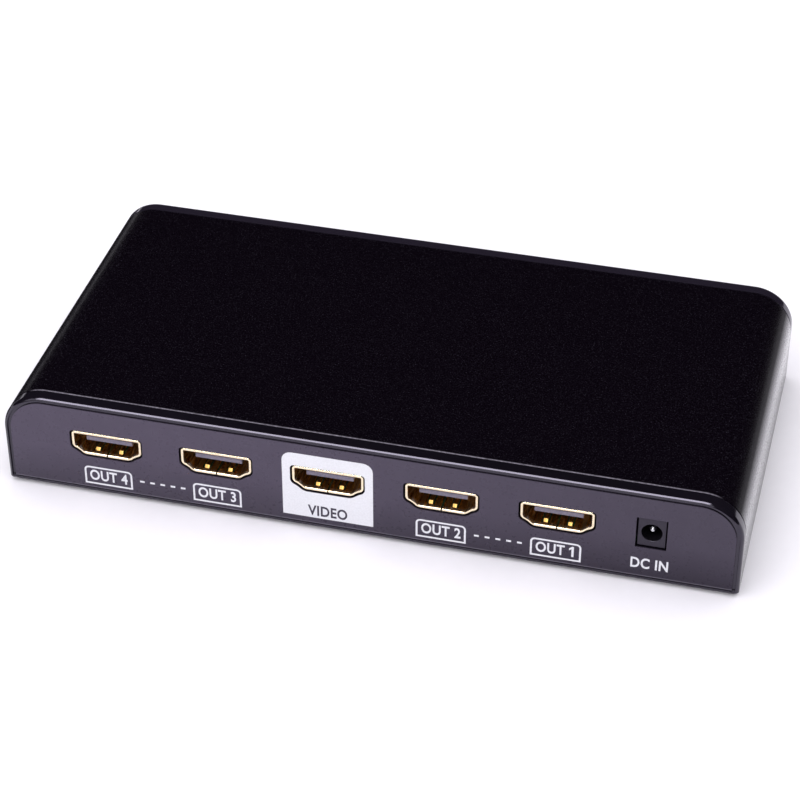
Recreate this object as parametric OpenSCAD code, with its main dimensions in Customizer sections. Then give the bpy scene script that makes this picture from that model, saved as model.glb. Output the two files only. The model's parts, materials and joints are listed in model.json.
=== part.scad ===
// Video splitter box: one input and four outputs on the port side, indicator lights on the far side.
// Millimetres, Z up. The sockets face -Y, and the origin lies on the table under the middle of the box.

/* [Case] */
// Width of the case, seen from the port side
case_w = 155; // [150:1:180]
// Depth of the case over both end caps
case_d = 78; // [74:1:110]
// Height of the case without its feet
case_h = 22; // [19.5:0.5:26]
// Radius of the two long upper edges
edge_r = 9; // [5:0.5:10]
// Wall of the cover
cover_t = 1.5; // [1:0.1:2]
// Thickness of the base plate
base_t = 1.2; // [1:0.1:2]
// Clearance between pieces that slide into each other
slide_fit = 0.15; // [0.05:0.05:0.3]
// Gap between the cover's ends and the end caps
seam = 0.1; // [0.05:0.05:0.3]
// Width of the cover's ledges over the base plate
ledge_w = 1.5; // [0.8:0.1:2.5]
// Height of the cover's ledges
ledge_h = 1; // [0.6:0.1:2]

/* [End caps] */
// Depth of an end cap that shows
cap_d = 3; // [2.6:0.1:4]
// Rounding of an end cap's outer edge
cap_round = 1; // [0.4:0.1:1.2]
// Rim of an end cap round its label
cap_rim = 1.1; // [1.1:0.1:2]
// Strip of an end cap under its label
cap_sill = 0.5; // [0.3:0.1:1.2]
// Thickness of an end cap's panel behind the label
panel_t = 1.5; // [1:0.1:1.8]
// Thickness of a label
label_t = 0.25; // [0.2:0.05:0.35]
// Gap behind a label, which its glue fills
glue_t = 0.05; // [0.02:0.01:0.1]
// How far a label lies below the end cap's rim
label_sink = 0.2; // [0.1:0.05:0.3]
// Reach of an end cap into the cover
spigot_d = 4; // [3:0.5:6]
// Wall of that reach
spigot_t = 1.2; // [0.8:0.1:1.6]

/* [Screws and feet] */
// Diameter of an end cap's screw boss
boss_d = 5.5; // [5:0.1:6.5]
// Height of a screw boss
boss_h = 5; // [4.5:0.5:7]
// Distance of a screw boss from the side of the case
boss_side = 7.5; // [7:0.5:9]
// Distance of a screw boss behind its end cap
boss_back = 4; // [3.5:0.5:8]
// Width of the web from a screw boss to its panel
boss_web_w = 3.5; // [2.5:0.1:4.5]
// Thickness over the bore of a screw boss
boss_roof = 1; // [0.6:0.1:1.4]
// Thread diameter of the case screws
case_screw_d = 2.5; // [2:0.1:3]
// Head diameter of the case screws
case_head_d = 4.4; // [4:0.1:4.6]
// Length of a case screw
case_screw_l = 4.5; // [4:0.5:5]
// Depth of a case screw's cross slot
case_slot_depth = 0.6; // [0.4:0.1:0.9]
// Thread diameter of the board screws
board_screw_d = 2.5; // [2:0.1:3]
// Head diameter of the board screws
board_head_d = 4.6; // [4.2:0.1:5.5]
// Head height of the board screws
board_head_h = 1.5; // [1:0.1:2]
// Reach of a board screw below the board
board_screw_reach = 3; // [2:0.5:3.5]
// Depth of a board screw's cross slot
board_slot_depth = 0.8; // [0.4:0.1:0.9]
// Play of a screw in its hole, all round
screw_play = 0.05; // [0.02:0.01:0.1]
// Diameter of a foot
foot_d = 9; // [6:0.5:12]
// Height of a foot
foot_h = 1; // [0.8:0.1:3]
// Rounding of a foot's lower edge
foot_round = 0.4; // [0.2:0.1:0.6]
// Distance of a foot from the side of the case
foot_side = 16; // [14:0.5:30]
// Distance of a foot from the end of the case
foot_end = 14; // [11:0.5:24]

/* [Circuit board] */
// Thickness of the board
board_t = 1.6; // [1:0.1:2]
// Height of the spacers under the board
spacer_h = 6.4; // [4:0.1:7]
// Width of a spacer across its flats
spacer_w = 5; // [4.5:0.1:6]
// Diameter of a spacer's stub in the base plate
spacer_stub_d = 3.5; // [3:0.1:4]
// Thickness under a spacer's thread hole
spacer_floor = 1; // [0.8:0.1:1.5]
// Distance of the front spacers behind the board's front edge
spacer_front = 7; // [6:0.5:9]
// Distance of the rear spacers from the board's edges
spacer_edge = 6; // [5:0.5:8]
// Gap from the port panel to the board
board_front_gap = 0.4; // [0.3:0.1:1]
// Gap from the far end cap to the board
board_back_gap = 5; // [4.5:0.5:12]
// Gap from the screw bosses to the board
board_side_gap = 1.2; // [0.5:0.1:3]
// Room round each leg that goes through the board
leg_play = 0.15; // [0.1:0.05:0.25]
// Length of a leg below the board
leg_tail = 0.8; // [0.5:0.1:1.5]

/* [Video sockets] */
// Distance from one socket to the next
port_pitch = 23.8; // [23:0.1:25]
// Place of the middle socket, to the right of the middle of the case
port_shift = -7.5; // [-8.5:0.1:-6.5]
// Width of a socket's opening
opening_w = 14; // [13.8:0.1:14.4]
// Height of a socket's opening
opening_h = 4.55; // [4.4:0.05:4.8]
// Height of the opening's straight sides
opening_side = 3.05; // [2.8:0.05:3.3]
// Width of the opening where its shoulders turn down
opening_knee_w = 11.7; // [11.4:0.1:12.4]
// Drop of the shoulders
opening_knee = 0.5; // [0.4:0.05:0.7]
// Width of the opening's floor
opening_floor_w = 9.6; // [9.4:0.1:10.4]
// Rounding of the opening's corners
opening_r = 0.4; // [0.2:0.1:0.5]
// Sheet thickness of a socket's shell
shell_t = 0.35; // [0.25:0.05:0.4]
// Width of the shell's front rim
rim_w = 0.6; // [0.5:0.05:0.7]
// Depth of the shell's front rim
rim_d = 0.6; // [0.4:0.1:0.9]
// How far the rim lies behind the front of the end cap
rim_sink = 0.4; // [0.2:0.1:0.6]
// Length of a shell
shell_l = 11; // [10:0.5:13]
// Gap round the rim in the panel and in the label
rim_gap = 0.3; // [0.2:0.05:0.4]
// Gap of the shell's joint under the opening
joint_gap = 0.2; // [0.1:0.05:0.3]
// Width of a spring finger
finger_w = 1.1; // [0.8:0.1:1.4]
// Distance of a spring finger from the middle of the socket
finger_x = 2.5; // [2:0.1:3.2]
// Length of a spring finger
finger_l = 4.6; // [4:0.1:5]
// Rise of a spring finger into the opening
finger_rise = 0.35; // [0.2:0.05:0.5]
// Cut all round a spring finger
finger_cut = 0.25; // [0.15:0.05:0.3]
// Width of a shell leg
leg_w = 1.4; // [1:0.1:1.8]
// Width of the tongue
tongue_w = 10; // [9.8:0.1:10.6]
// Thickness of the tongue
tongue_t = 1; // [0.8:0.1:1.1]
// Gap over the tongue
tongue_drop = 1.65; // [1.3:0.05:1.8]
// Distance of the tongue behind the rim
tongue_back = 1.9; // [1.7:0.1:2.2]
// Length of the tongue
tongue_l = 5.1; // [4.6:0.1:5.4]
// Width of a contact
contact_w = 0.3; // [0.2:0.02:0.36]
// Thickness of a contact
contact_t = 0.15; // [0.1:0.01:0.2]
// Distance between contacts in one row
contact_pitch = 1; // [0.9:0.02:1.04]
// Number of contacts on top of the tongue
contact_count = 10; // [8:1:10]
// Play of a contact in its slot
contact_play = 0.03; // [0.02:0.01:0.05]

/* [Power jack] */
// Distance of the jack's axis from the right side of the case
jack_side = 18.3; // [17.5:0.1:19.5]
// Width of the jack
jack_w = 5.8; // [5.4:0.1:6.4]
// Height of the jack's front
jack_h = 7; // [6.8:0.1:7.4]
// Length of the jack
jack_l = 11; // [10.5:0.5:13]
// Height of the jack's axis over the board
jack_rise = 2.6; // [2.5:0.1:3]
// How far the jack's front lies behind the front of the end cap
jack_sink = 0.6; // [0.4:0.1:0.8]
// Gap round the jack in the panel and in the label
jack_gap = 0.25; // [0.15:0.05:0.4]
// Diameter of the jack's bore
jack_bore_d = 4.2; // [4:0.1:4.4]
// Depth of the jack's bore
jack_bore_l = 8.5; // [8:0.1:9]
// Diameter of the jack's centre pin
jack_pin_d = 1.3; // [1:0.05:1.5]
// Diameter of the pin's root in the housing
jack_root_d = 0.8; // [0.7:0.05:0.9]
// Distance of the pin's tip behind the jack's front
jack_pin_back = 0.9; // [0.5:0.1:2]
// Length of the pin's tapered tip
jack_tip_l = 0.4; // [0.2:0.1:0.6]
// Width of the jack's spring
spring_w = 2; // [1.6:0.1:2.1]
// Thickness of the jack's spring
spring_t = 0.25; // [0.2:0.05:0.3]
// Reach of the jack's spring
spring_l = 6.1; // [5.6:0.1:6.4]
// Radius of the rolled root of the spring
spring_root_r = 0.4; // [0.3:0.05:0.42]
// Play of the rolled root in its seat
spring_play = 0.05; // [0.03:0.01:0.08]

/* [Chips and power parts] */
// Side of the splitter chip
chip_w = 14; // [10:1:18]
// Thickness of the splitter chip
chip_t = 1.4; // [1:0.1:1.6]
// Number of leads on each side of the splitter chip
chip_leads = 16; // [8:1:20]
// Distance between the splitter chip's leads
chip_pitch = 0.8; // [0.5:0.05:0.85]
// Thickness of the thermal pad
pad_t = 0.5; // [0.3:0.1:1]
// Side of the heat sink
sink_w = 22; // [16:1:30]
// Thickness of the heat sink's floor
sink_floor = 1.5; // [1:0.1:2.5]
// Height of the heat sink's fins
fin_h = 4.2; // [2:0.1:5]
// Number of fins
fin_count = 8; // [4:1:10]
// Thickness of a fin
fin_t = 1; // [0.6:0.1:1.4]
// Diameter of an electrolytic capacitor
can_d = 6.3; // [5:0.1:8]
// Height of an electrolytic capacitor
can_h = 5.6; // [4:0.1:7]
// Side of the power inductor
coil_w = 6.5; // [5:0.5:8]
// Height of the power inductor
coil_h = 3; // [2:0.1:5]

/* [Indicator lights] */
// Number of indicator lights
light_count = 6; // [1:1:7]
// Distance between the lights
light_pitch = 10; // [8:0.5:16]
// Diameter of a light pipe
pipe_d = 2.5; // [1.6:0.1:3]
// Extra width of a light pipe's collar, all round
collar_w = 0.6; // [0.4:0.1:1]
// Thickness of a light pipe's collar
collar_t = 0.8; // [0.5:0.1:1.2]
// Height of a lamp on the board
lamp_h = 1.6; // [1.2:0.1:2]

/* [Hidden] */
$fn = 64;
past = 1; // how far a cut runs past the face that it opens
cap_edge_steps = 6; // flats in an end cap's rounded edge

// Heights, from the table up
case_z = foot_h;
case_top = case_z + case_h;
base_top = case_z + base_t;
board_bottom = base_top + spacer_h;
board_top = board_bottom + board_t;
port_z = board_top + shell_t + opening_h / 2;
jack_z = board_top + jack_rise;
spigot_bottom = base_top + slide_fit;

// Places along the depth, from the port side back
front = -case_d / 2;
label_depth = label_sink + label_t + glue_t;
panel_back = front + label_depth + panel_t;
cap_back = front + cap_d;
cover_front = cap_back + seam;
board_front = panel_back + board_front_gap;
board_back = case_d / 2 - cap_d - board_back_gap;
rim_front = front + rim_sink;
jack_front = front + jack_sink;
far_panel = -panel_back;

// Widths
spigot_inset = cover_t + slide_fit;
hollow_inset = spigot_inset + spigot_t;
boss_x = case_w / 2 - boss_side;
boss_y = case_d / 2 - cap_d - boss_back;
foot_x = case_w / 2 - foot_side;
foot_y = case_d / 2 - foot_end;
board_w = 2 * (boss_x - boss_d / 2 - board_side_gap);
jack_x = case_w / 2 - jack_side;

// The tongue and its contacts, from the middle of the opening
tongue_top = opening_h / 2 - tongue_drop;
tongue_low = tongue_top - tongue_t;
contact_setback = 0.5;
contact_front = tongue_back + contact_setback;
contact_foot = 0.8;
contact_tail_gap = 0.3;
contact_tail = shell_l + contact_tail_gap;
shell_low = -opening_h / 2 - shell_t;
shell_side = opening_w / 2 + shell_t / 2;
front_leg = 3.9;
rear_leg = 1.6;
leg_places = [front_leg, shell_l - rear_leg];

// The jack's spring, from the jack's front and axis
spring_root_back = 2;
spring_root_rise = 0.4;
spring_dip = 0.95;
spring_tip_dip = 0.4;
spring_room = 0.2;
spring_root = [jack_l - spring_root_back, jack_bore_d / 2 + spring_root_rise];
spring_elbow = spring_root + [-0.75 * spring_l, -spring_dip];
spring_tip = spring_root + [-spring_l, -spring_tip_dip];
spring_slot_w = spring_w + 2 * spring_room;
spring_slot_top = spring_root.y + 3 * spring_room;
spring_slot_front = spring_tip.x - 3 * spring_room;
tail_t = 0.35;
tail_gap = 0.05;
tail_front = jack_l + tail_gap;
tail_w = 0.8;
tail_low = -jack_rise - board_t - leg_tail;
sleeve_tail_x = 1.7;

// The splitter chip, from the middle of the case
chip_at = [-6, 1];

// The controller chip and the power parts, which keep their distance to the left of the jack
controller_to_jack = 25.2;
coil_to_jack = 10.2;
regulator_to_jack = 12.2;
can_to_jack = 1.2;
controller_at = [jack_x - controller_to_jack, 6];
controller_size = [8, 4.4, 1.5];
controller_leads = 10;
crystal_at = [16, 10];
crystal_size = [8, 3.6, 3.2];
coil_at = [jack_x - coil_to_jack, -6];
regulator_size = [6.5, 3.5, 1.6];
regulator_tab = [3, 1.6, 0.4];
tab_tuck = 0.1;
regulator_places = [[-38, 4], [-38, 14], [jack_x - regulator_to_jack, 6]];
coil_core_h = 0.2;
can_foot_t = 1;
can_foot_edge = 0.15;
can_places = [[jack_x - can_to_jack, -8], [jack_x - can_to_jack, 2], [-50, 9]];
lead_t = 0.15;
lead_reach = 1;
chip_lift = 0.1;
lead_knee = 0.7;

// The small parts in rows behind the sockets
row_gap = 4;
row_start = rim_front + shell_l + row_gap;
resistor_size = [0.8, 1.6, 0.45];
resistor_pitch = 1.6;
resistor_count = 8;
guard_size = [2.5, 1, 0.6];
guard_pitch = 3.4;
guard_gap = 3;
guard_row = row_start + guard_gap;

// The lamps on the board's far edge
lamp_w = 2;
lamp_d = 1.8;
lens_d = 1.1;
lens_l = 0.15;
light_z = board_top + lamp_h / 2;
light_gap = 0.1;
light_end = case_d / 2 - label_sink / 2;

// Places of the sockets, left to right: outputs 4 and 3, the input, outputs 2 and 1
function port_x(place) = port_shift + (place - 2) * port_pitch;

// Places of the lamps on the far side
function light_x(place) = (place - (light_count - 1) / 2) * light_pitch;

// Spacers stand between the outer sockets, and near the board's far corners
spacer_places = [
    [(port_x(0) + port_x(1)) / 2, board_front + spacer_front],
    [(port_x(3) + port_x(4)) / 2, board_front + spacer_front],
    [-board_w / 2 + spacer_edge, board_back - spacer_edge],
    [board_w / 2 - spacer_edge, board_back - spacer_edge]
];

function unit(v) = v / norm(v);

// Outward normal of the edge from one point to the next, on an outline that runs anticlockwise
function edge_normal(from, to) = let (run = unit(to - from)) [run.y, -run.x];

// An outline moved outwards by the given amount
function grown(points, amount) =
    let (count = len(points))
    [for (i = [0:count - 1])
        let (
            before = edge_normal(points[(i + count - 1) % count], points[i]),
            after = edge_normal(points[i], points[(i + 1) % count])
        )
        points[i] + amount * (before + after) / (1 + before * after)];

// An arc of radius r that rounds the corner at a point
function corner_arc(before, at, after, r, steps) =
    let (
        u = unit(before - at),
        v = unit(after - at),
        half = acos(u * v) / 2,
        centre = at + unit(u + v) * r / sin(half),
        start = at + u * r / tan(half) - centre,
        stop = at + v * r / tan(half) - centre,
        first = atan2(start.y, start.x),
        turn = (atan2(stop.y, stop.x) - first + 540) % 360 - 180
    )
    [for (k = [0:steps]) centre + r * [cos(first + turn * k / steps), sin(first + turn * k / steps)]];

function rounded(points, r, steps = 4) =
    let (count = len(points))
    [for (i = [0:count - 1])
        each corner_arc(points[(i + count - 1) % count], points[i], points[(i + 1) % count], r, steps)];

// Outline of a socket's opening about its middle, grown by the given amount
function socket_outline(amount) =
    let (
        top = opening_h / 2,
        shoulder = top - opening_side,
        knee = shoulder - opening_knee,
        right = [
            [opening_floor_w / 2, -top],
            [opening_knee_w / 2, knee],
            [opening_w / 2, shoulder],
            [opening_w / 2, top]
        ],
        left = [for (i = [3:-1:0]) [-right[i].x, right[i].y]]
    )
    rounded(grown(concat(right, left), amount), opening_r + max(0, amount) / 2);

// Extrudes an outline drawn in X and Z from y0 to y1
module along_y(y0, y1) {
    translate([0, y1, 0])
        rotate([90, 0, 0])
            linear_extrude(y1 - y0)
                children();
}

// Extrudes an outline drawn in Y and Z over a width about x = 0
module along_x(width) {
    translate([-width / 2, 0, 0])
        rotate([90, 0, 90])
            linear_extrude(width)
                children();
}

// A box on the plane z = 0, centred in X and Y
module block(size) {
    translate([-size.x / 2, -size.y / 2, 0])
        cube(size);
}

module quarter_disc(r) {
    intersection() {
        circle(r);
        square(2 * r);
    }
}

// Section of the case: square below, with round upper corners
module arch(width, bottom, top, r) {
    translate([-width / 2, bottom])
        square([width, top - r - bottom]);
    translate([-width / 2 + r, top - r])
        square([width - 2 * r, r]);
    translate([width / 2 - r, top - r])
        quarter_disc(r);
    mirror([1, 0])
        translate([width / 2 - r, top - r])
            quarter_disc(r);
}

// The case's section drawn in by an inset at the top and the sides
module case_section(inset, bottom) {
    arch(case_w - 2 * inset, bottom, case_top - inset, edge_r - inset);
}

// Draws its children at all four corners of a rectangle
module at_corners(x, y) {
    for (sx = [-1, 1], sy = [-1, 1])
        translate([sx * x, sy * y, 0])
            children();
}

// Cover: a wrapped shell, open below and at both ends, with a ledge over each edge of the base plate
module top_cover() {
    inner_x = case_w / 2 - cover_t;
    ledge_end = -cover_front - spigot_d - seam;
    color("#0b0a0d") {
        along_y(cover_front, -cover_front)
            difference() {
                case_section(0, case_z);
                case_section(cover_t, case_z - past);
            }
        for (side = [0, 1])
            mirror([side, 0, 0])
                translate([inner_x - ledge_w, -ledge_end, base_top + slide_fit])
                    cube([ledge_w + cover_t / 2, 2 * ledge_end, ledge_h]);
    }
}

// Countersunk screw from z = 0 up, grown by the play for its hole
module case_screw_shape(play, length) {
    head_h = (case_head_d - case_screw_d) / 2;
    cylinder(d1 = case_head_d + 2 * play, d2 = case_screw_d + 2 * play, h = head_h);
    cylinder(d = case_screw_d + 2 * play, h = length);
}

module cross_slot(width, depth) {
    for (turn = [0, 90])
        rotate(turn)
            translate([-width / 2, -width / 8, -depth])
                cube([width, width / 4, 2 * depth]);
}

module case_screws() {
    color("#2b2b2e")
        at_corners(boss_x, boss_y)
            translate([0, 0, case_z])
                difference() {
                    case_screw_shape(0, case_screw_l);
                    cross_slot(0.55 * case_head_d, case_slot_depth);
                }
}

module base_plate() {
    width = case_w - 2 * spigot_inset;
    color("#141317")
        difference() {
            translate([-width / 2, cover_front, case_z])
                cube([width, -2 * cover_front, base_t]);
            at_corners(boss_x, boss_y)
                translate([0, 0, case_z]) {
                    case_screw_shape(screw_play, base_t + past);
                    translate([0, 0, -past])
                        cylinder(d = case_head_d + 2 * screw_play, h = past);
                }
            for (place = spacer_places)
                translate([place.x, place.y, case_z - past])
                    cylinder(d = spacer_stub_d + 2 * screw_play, h = base_t + 2 * past);
        }
}

module foot_section() {
    square([foot_d / 2 - foot_round, foot_h]);
    translate([0, foot_round])
        square([foot_d / 2, foot_h - foot_round]);
    translate([foot_d / 2 - foot_round, foot_round])
        mirror([0, 1])
            quarter_disc(foot_round);
}

module rubber_feet() {
    color("#1c1c1c")
        at_corners(foot_x, foot_y)
            rotate_extrude()
                foot_section();
}

// Section of an end cap's rounded edge about the middle of its arc, which runs on into the block behind
module cap_edge_section() {
    arc = corner_arc([cap_round, 0], [cap_round, cap_round], [0, cap_round], cap_round, cap_edge_steps);
    polygon(concat(arc, [[-cap_round, 0], [-cap_round, -cap_round], [0, -cap_round]]));
}

// The end cap's outer block, with its front edge rounded over the top and down both sides
module cap_block() {
    round_y = front + cap_round;
    along_y(round_y, cap_back)
        case_section(0, case_z);
    along_y(front, cap_back)
        case_section(cap_round, case_z);
    translate([0, round_y, case_top - cap_round])
        along_x(case_w - 2 * edge_r)
            mirror([1, 0])
                cap_edge_section();
    for (side = [0, 1])
        mirror([side, 0, 0]) {
            translate([case_w / 2 - cap_round, round_y, case_z])
                linear_extrude(case_h - edge_r)
                    mirror([0, 1])
                        cap_edge_section();
            translate([case_w / 2 - edge_r, round_y, case_top - edge_r])
                rotate([90, 0, 0])
                    rotate_extrude(angle = 90)
                        translate([edge_r - cap_round, 0])
                            cap_edge_section();
        }
}

// Boss of an end cap that stands on the base plate and takes a case screw
module cap_boss() {
    boss_at = [boss_x, -boss_y];
    bore_l = boss_h - boss_roof;
    difference() {
        union() {
            translate([boss_at.x, boss_at.y, base_top])
                cylinder(d = boss_d, h = boss_h);
            translate([boss_at.x - boss_web_w / 2, panel_back - panel_t / 2, spigot_bottom])
                cube([boss_web_w, boss_at.y - panel_back + panel_t / 2, boss_h + base_top - spigot_bottom]);
        }
        translate([boss_at.x, boss_at.y, base_top - past])
            cylinder(d = case_screw_d + 2 * screw_play, h = bore_l + past);
    }
}

// An end cap on the port side: a rimmed panel, a reach into the cover and two screw bosses
module cap_blank() {
    difference() {
        cap_block();
        along_y(panel_back, cap_back + past)
            case_section(hollow_inset, spigot_bottom);
        along_y(front - past, front + label_depth)
            case_section(cap_rim, case_z + cap_sill);
    }
    along_y(panel_back, cap_back + spigot_d)
        difference() {
            case_section(spigot_inset, spigot_bottom);
            case_section(hollow_inset, spigot_bottom - past);
        }
    for (side = [0, 1])
        mirror([side, 0, 0])
            cap_boss();
}

// The outlines of all sockets and the jack, as the panel and the label leave room for them
module port_holes() {
    for (place = [0:4])
        translate([port_x(place), port_z])
            polygon(socket_outline(rim_w + rim_gap));
    translate([jack_x - jack_w / 2 - jack_gap, jack_z - jack_h / 2 - jack_gap])
        square([jack_w + 2 * jack_gap, jack_h + 2 * jack_gap]);
}

module light_holes(play) {
    for (place = [0:light_count - 1])
        translate([light_x(place), light_z])
            circle(d = pipe_d + 2 * play);
}

module port_end_cap() {
    color("#0a090c")
        difference() {
            cap_blank();
            along_y(front - past, panel_back + past)
                port_holes();
        }
}

module indicator_end_cap() {
    color("#0a090c")
        difference() {
            mirror([0, 1, 0])
                cap_blank();
            along_y(far_panel - past, -front + past)
                light_holes(slide_fit);
        }
}

// A label fills the end cap's recess, less the sliding clearance
module label_section() {
    case_section(cap_rim + slide_fit, case_z + cap_sill + slide_fit);
}

module port_label() {
    color("#4c4753")
        along_y(front + label_sink, front + label_sink + label_t)
            difference() {
                label_section();
                port_holes();
            }
}

module indicator_label() {
    color("#4c4753")
        along_y(-front - label_sink - label_t, -front - label_sink)
            difference() {
                label_section();
                light_holes(slide_fit);
            }
}

// Slots in the board for the legs of one socket
module leg_slots() {
    for (side = [-1, 1], place = leg_places)
        translate([side * shell_side, place, 0])
            square([shell_t + 2 * leg_play, leg_w + 2 * leg_play], center = true);
}

module tail_slot(x) {
    translate([x, tail_front + tail_t / 2])
        square([tail_w + 2 * leg_play, tail_t + 2 * leg_play], center = true);
}

module circuit_board() {
    color("#14532d")
        translate([0, 0, board_bottom])
            linear_extrude(board_t)
                difference() {
                    translate([-board_w / 2, board_front])
                        square([board_w, board_back - board_front]);
                    for (place = spacer_places)
                        translate(place)
                            circle(d = board_screw_d + 2 * slide_fit);
                    for (place = [0:4])
                        translate([port_x(place), rim_front])
                            leg_slots();
                    translate([jack_x, jack_front]) {
                        tail_slot(0);
                        tail_slot(sleeve_tail_x);
                    }
                }
}

// Hexagonal spacers with a stub in the base plate and a blind thread hole from above
module board_spacers() {
    corner_d = spacer_w / cos(30);
    color("#c9b37c")
        for (place = spacer_places)
            translate([place.x, place.y, base_top])
                difference() {
                    union() {
                        cylinder(d = corner_d, h = spacer_h, $fn = 6);
                        translate([0, 0, -base_t])
                            cylinder(d = spacer_stub_d, h = base_t);
                    }
                    translate([0, 0, spacer_floor])
                        cylinder(d = board_screw_d + 2 * screw_play, h = spacer_h);
                }
}

module board_screws() {
    color("#b9bcc0")
        for (place = spacer_places)
            translate([place.x, place.y, board_top])
                difference() {
                    union() {
                        cylinder(d = board_head_d, h = board_head_h);
                        translate([0, 0, -board_t - board_screw_reach])
                            cylinder(d = board_screw_d, h = board_t + board_screw_reach);
                    }
                    translate([0, 0, board_head_h])
                        cross_slot(0.55 * board_head_d, board_slot_depth);
                }
}

// Side view of a spring finger that rises from a wall towards +Z; its root lies in the wall
module finger_section() {
    root = finger_l + finger_cut + shell_t;
    polygon([
        [root, -shell_t],
        [root, 0],
        [finger_l * 0.75, 0],
        [finger_l * 0.3, finger_rise],
        [0, finger_rise * 0.3],
        [0, finger_rise * 0.3 - shell_t],
        [finger_l * 0.3, finger_rise - shell_t],
        [finger_l * 0.75, -shell_t]
    ]);
}

// The cut in a wall round a spring finger
module finger_window() {
    width = finger_w + 2 * finger_cut;
    translate([-width / 2, -finger_cut, -shell_t - past])
        cube([width, finger_l + 2 * finger_cut, shell_t + past + finger_rise]);
}

// Draws its children at the four spring fingers: two in the floor, two in the roof
module at_fingers() {
    finger_front = rim_d + 3 * finger_cut;
    for (face = [0, 1], side = [-1, 1])
        mirror([0, 0, face])
            translate([side * finger_x, finger_front, -opening_h / 2])
                children();
}

// Shell of a socket about the middle of its opening: a folded tube with a rim, spring fingers and four legs
module socket_shell(place) {
    leg_top = opening_h / 2 - opening_side + opening_knee;
    leg_h = leg_top - shell_low + board_t + leg_tail;
    color("#e2b65a")
        translate([port_x(place), rim_front, port_z]) {
            difference() {
                union() {
                    along_y(0, rim_d)
                        polygon(socket_outline(rim_w));
                    along_y(rim_d / 2, shell_l)
                        polygon(socket_outline(shell_t));
                }
                along_y(-past, shell_l + past)
                    polygon(socket_outline(0));
                translate([-joint_gap / 2, -past, -opening_h])
                    cube([joint_gap, shell_l + 2 * past, opening_h / 2 + shell_t]);
                at_fingers()
                    finger_window();
            }
            at_fingers()
                along_x(finger_w)
                    finger_section();
            for (side = [-1, 1], y = leg_places)
                translate([side * shell_side, y, leg_top - leg_h])
                    block([shell_t, leg_w, leg_h]);
        }
}

// Draws its children at each contact: turned up for the row on top of the tongue, turned down for the row below
module at_contacts(row) {
    count = contact_count - row;
    for (k = [0:count - 1])
        translate([(k - (count - 1) / 2) * contact_pitch, 0, 0])
            children();
}

// Side view of a contact: along the tongue, out behind the block and down to the board
module contact_section(row, play) {
    level = row == 0 ? tongue_top : tongue_low - contact_t;
    translate([contact_front, level - (row == 0 ? 0 : play)])
        square([contact_tail + contact_t - contact_front, contact_t + play]);
    if (play == 0) {
        translate([contact_tail, shell_low])
            square([contact_t, level - shell_low + contact_t]);
        translate([contact_tail, shell_low])
            square([contact_foot, contact_t]);
    }
}

// Insulator of a socket: a block in the back of the shell with a tongue to the front
module socket_insulator(place) {
    block_front = tongue_back + tongue_l;
    color("#232227")
        translate([port_x(place), rim_front, port_z])
            difference() {
                union() {
                    along_y(block_front, shell_l)
                        polygon(socket_outline(-slide_fit / 3));
                    translate([-tongue_w / 2, tongue_back, tongue_low])
                        cube([tongue_w, tongue_l + past, tongue_t]);
                }
                for (row = [0, 1])
                    at_contacts(row)
                        along_x(contact_w + 2 * contact_play)
                            contact_section(row, contact_play);
            }
}

module socket_contacts(place) {
    color("#e9c46a")
        translate([port_x(place), rim_front, port_z])
            for (row = [0, 1])
                at_contacts(row)
                    along_x(contact_w)
                        contact_section(row, 0);
}

// Housing of the jack, from its front and axis: a taller nose before the board, and a body on the board
module jack_housing() {
    nose_l = board_front - jack_front - board_front_gap / 2;
    pocket_low = spring_root.y - spring_root_r - spring_room;
    pocket_front = spring_root.x - spring_root_r - 1.5 * spring_room;
    color("#26242a")
        translate([jack_x, jack_front, jack_z])
            difference() {
                union() {
                    translate([-jack_w / 2, 0, -jack_h / 2])
                        cube([jack_w, nose_l, jack_h]);
                    translate([-jack_w / 2, 0, -jack_rise])
                        cube([jack_w, jack_l, jack_rise + jack_h / 2]);
                }
                rotate([-90, 0, 0]) {
                    translate([0, 0, -past])
                        cylinder(d = jack_bore_d, h = jack_bore_l + past);
                    cylinder(d = jack_root_d + 2 * screw_play, h = jack_l + past);
                }
                translate([-spring_slot_w / 2, spring_slot_front, 0])
                    cube([spring_slot_w, jack_bore_l - spring_slot_front, spring_slot_top]);
                translate([-spring_slot_w / 2, pocket_front, pocket_low])
                    cube([spring_slot_w, jack_l + past - pocket_front, spring_slot_top - pocket_low]);
            }
}

// Tail of a jack terminal, from a height above the axis down through the board
module jack_tail(x, top) {
    translate([x - tail_w / 2, tail_front, tail_low])
        cube([tail_w, tail_t, top - tail_low]);
}

module jack_centre_pin() {
    shank_front = jack_pin_back + jack_tip_l;
    color("#c8cace")
        translate([jack_x, jack_front, jack_z]) {
            rotate([-90, 0, 0]) {
                translate([0, 0, shank_front])
                    cylinder(d = jack_pin_d, h = jack_bore_l - shank_front);
                translate([0, 0, jack_bore_l])
                    cylinder(d = jack_root_d, h = tail_front + tail_t / 2 - jack_bore_l);
                translate([0, 0, jack_pin_back])
                    cylinder(d1 = jack_pin_d / 2, d2 = jack_pin_d, h = jack_tip_l);
            }
            jack_tail(0, jack_pin_d / 2);
        }
}

// Fixed terminal of the jack's sleeve: a seat for the spring's rolled root, and a tail down to the board
module jack_sleeve_terminal() {
    seat_h = 2 * spring_root_r + spring_room;
    seat_low = spring_root.y - seat_h / 2;
    color("#c8cace")
        translate([jack_x, jack_front, jack_z]) {
            difference() {
                translate([-spring_w / 2, spring_root.x, seat_low])
                    cube([spring_w, tail_front + tail_t - spring_root.x, seat_h]);
                translate([0, spring_root.x, spring_root.y])
                    rotate([0, 90, 0])
                        cylinder(r = spring_root_r + spring_play, h = 2 * spring_w, center = true);
            }
            translate([0, tail_front, seat_low])
                cube([sleeve_tail_x + tail_w / 2, tail_t, seat_h]);
            jack_tail(sleeve_tail_x, seat_low + seat_h);
        }
}

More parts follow.
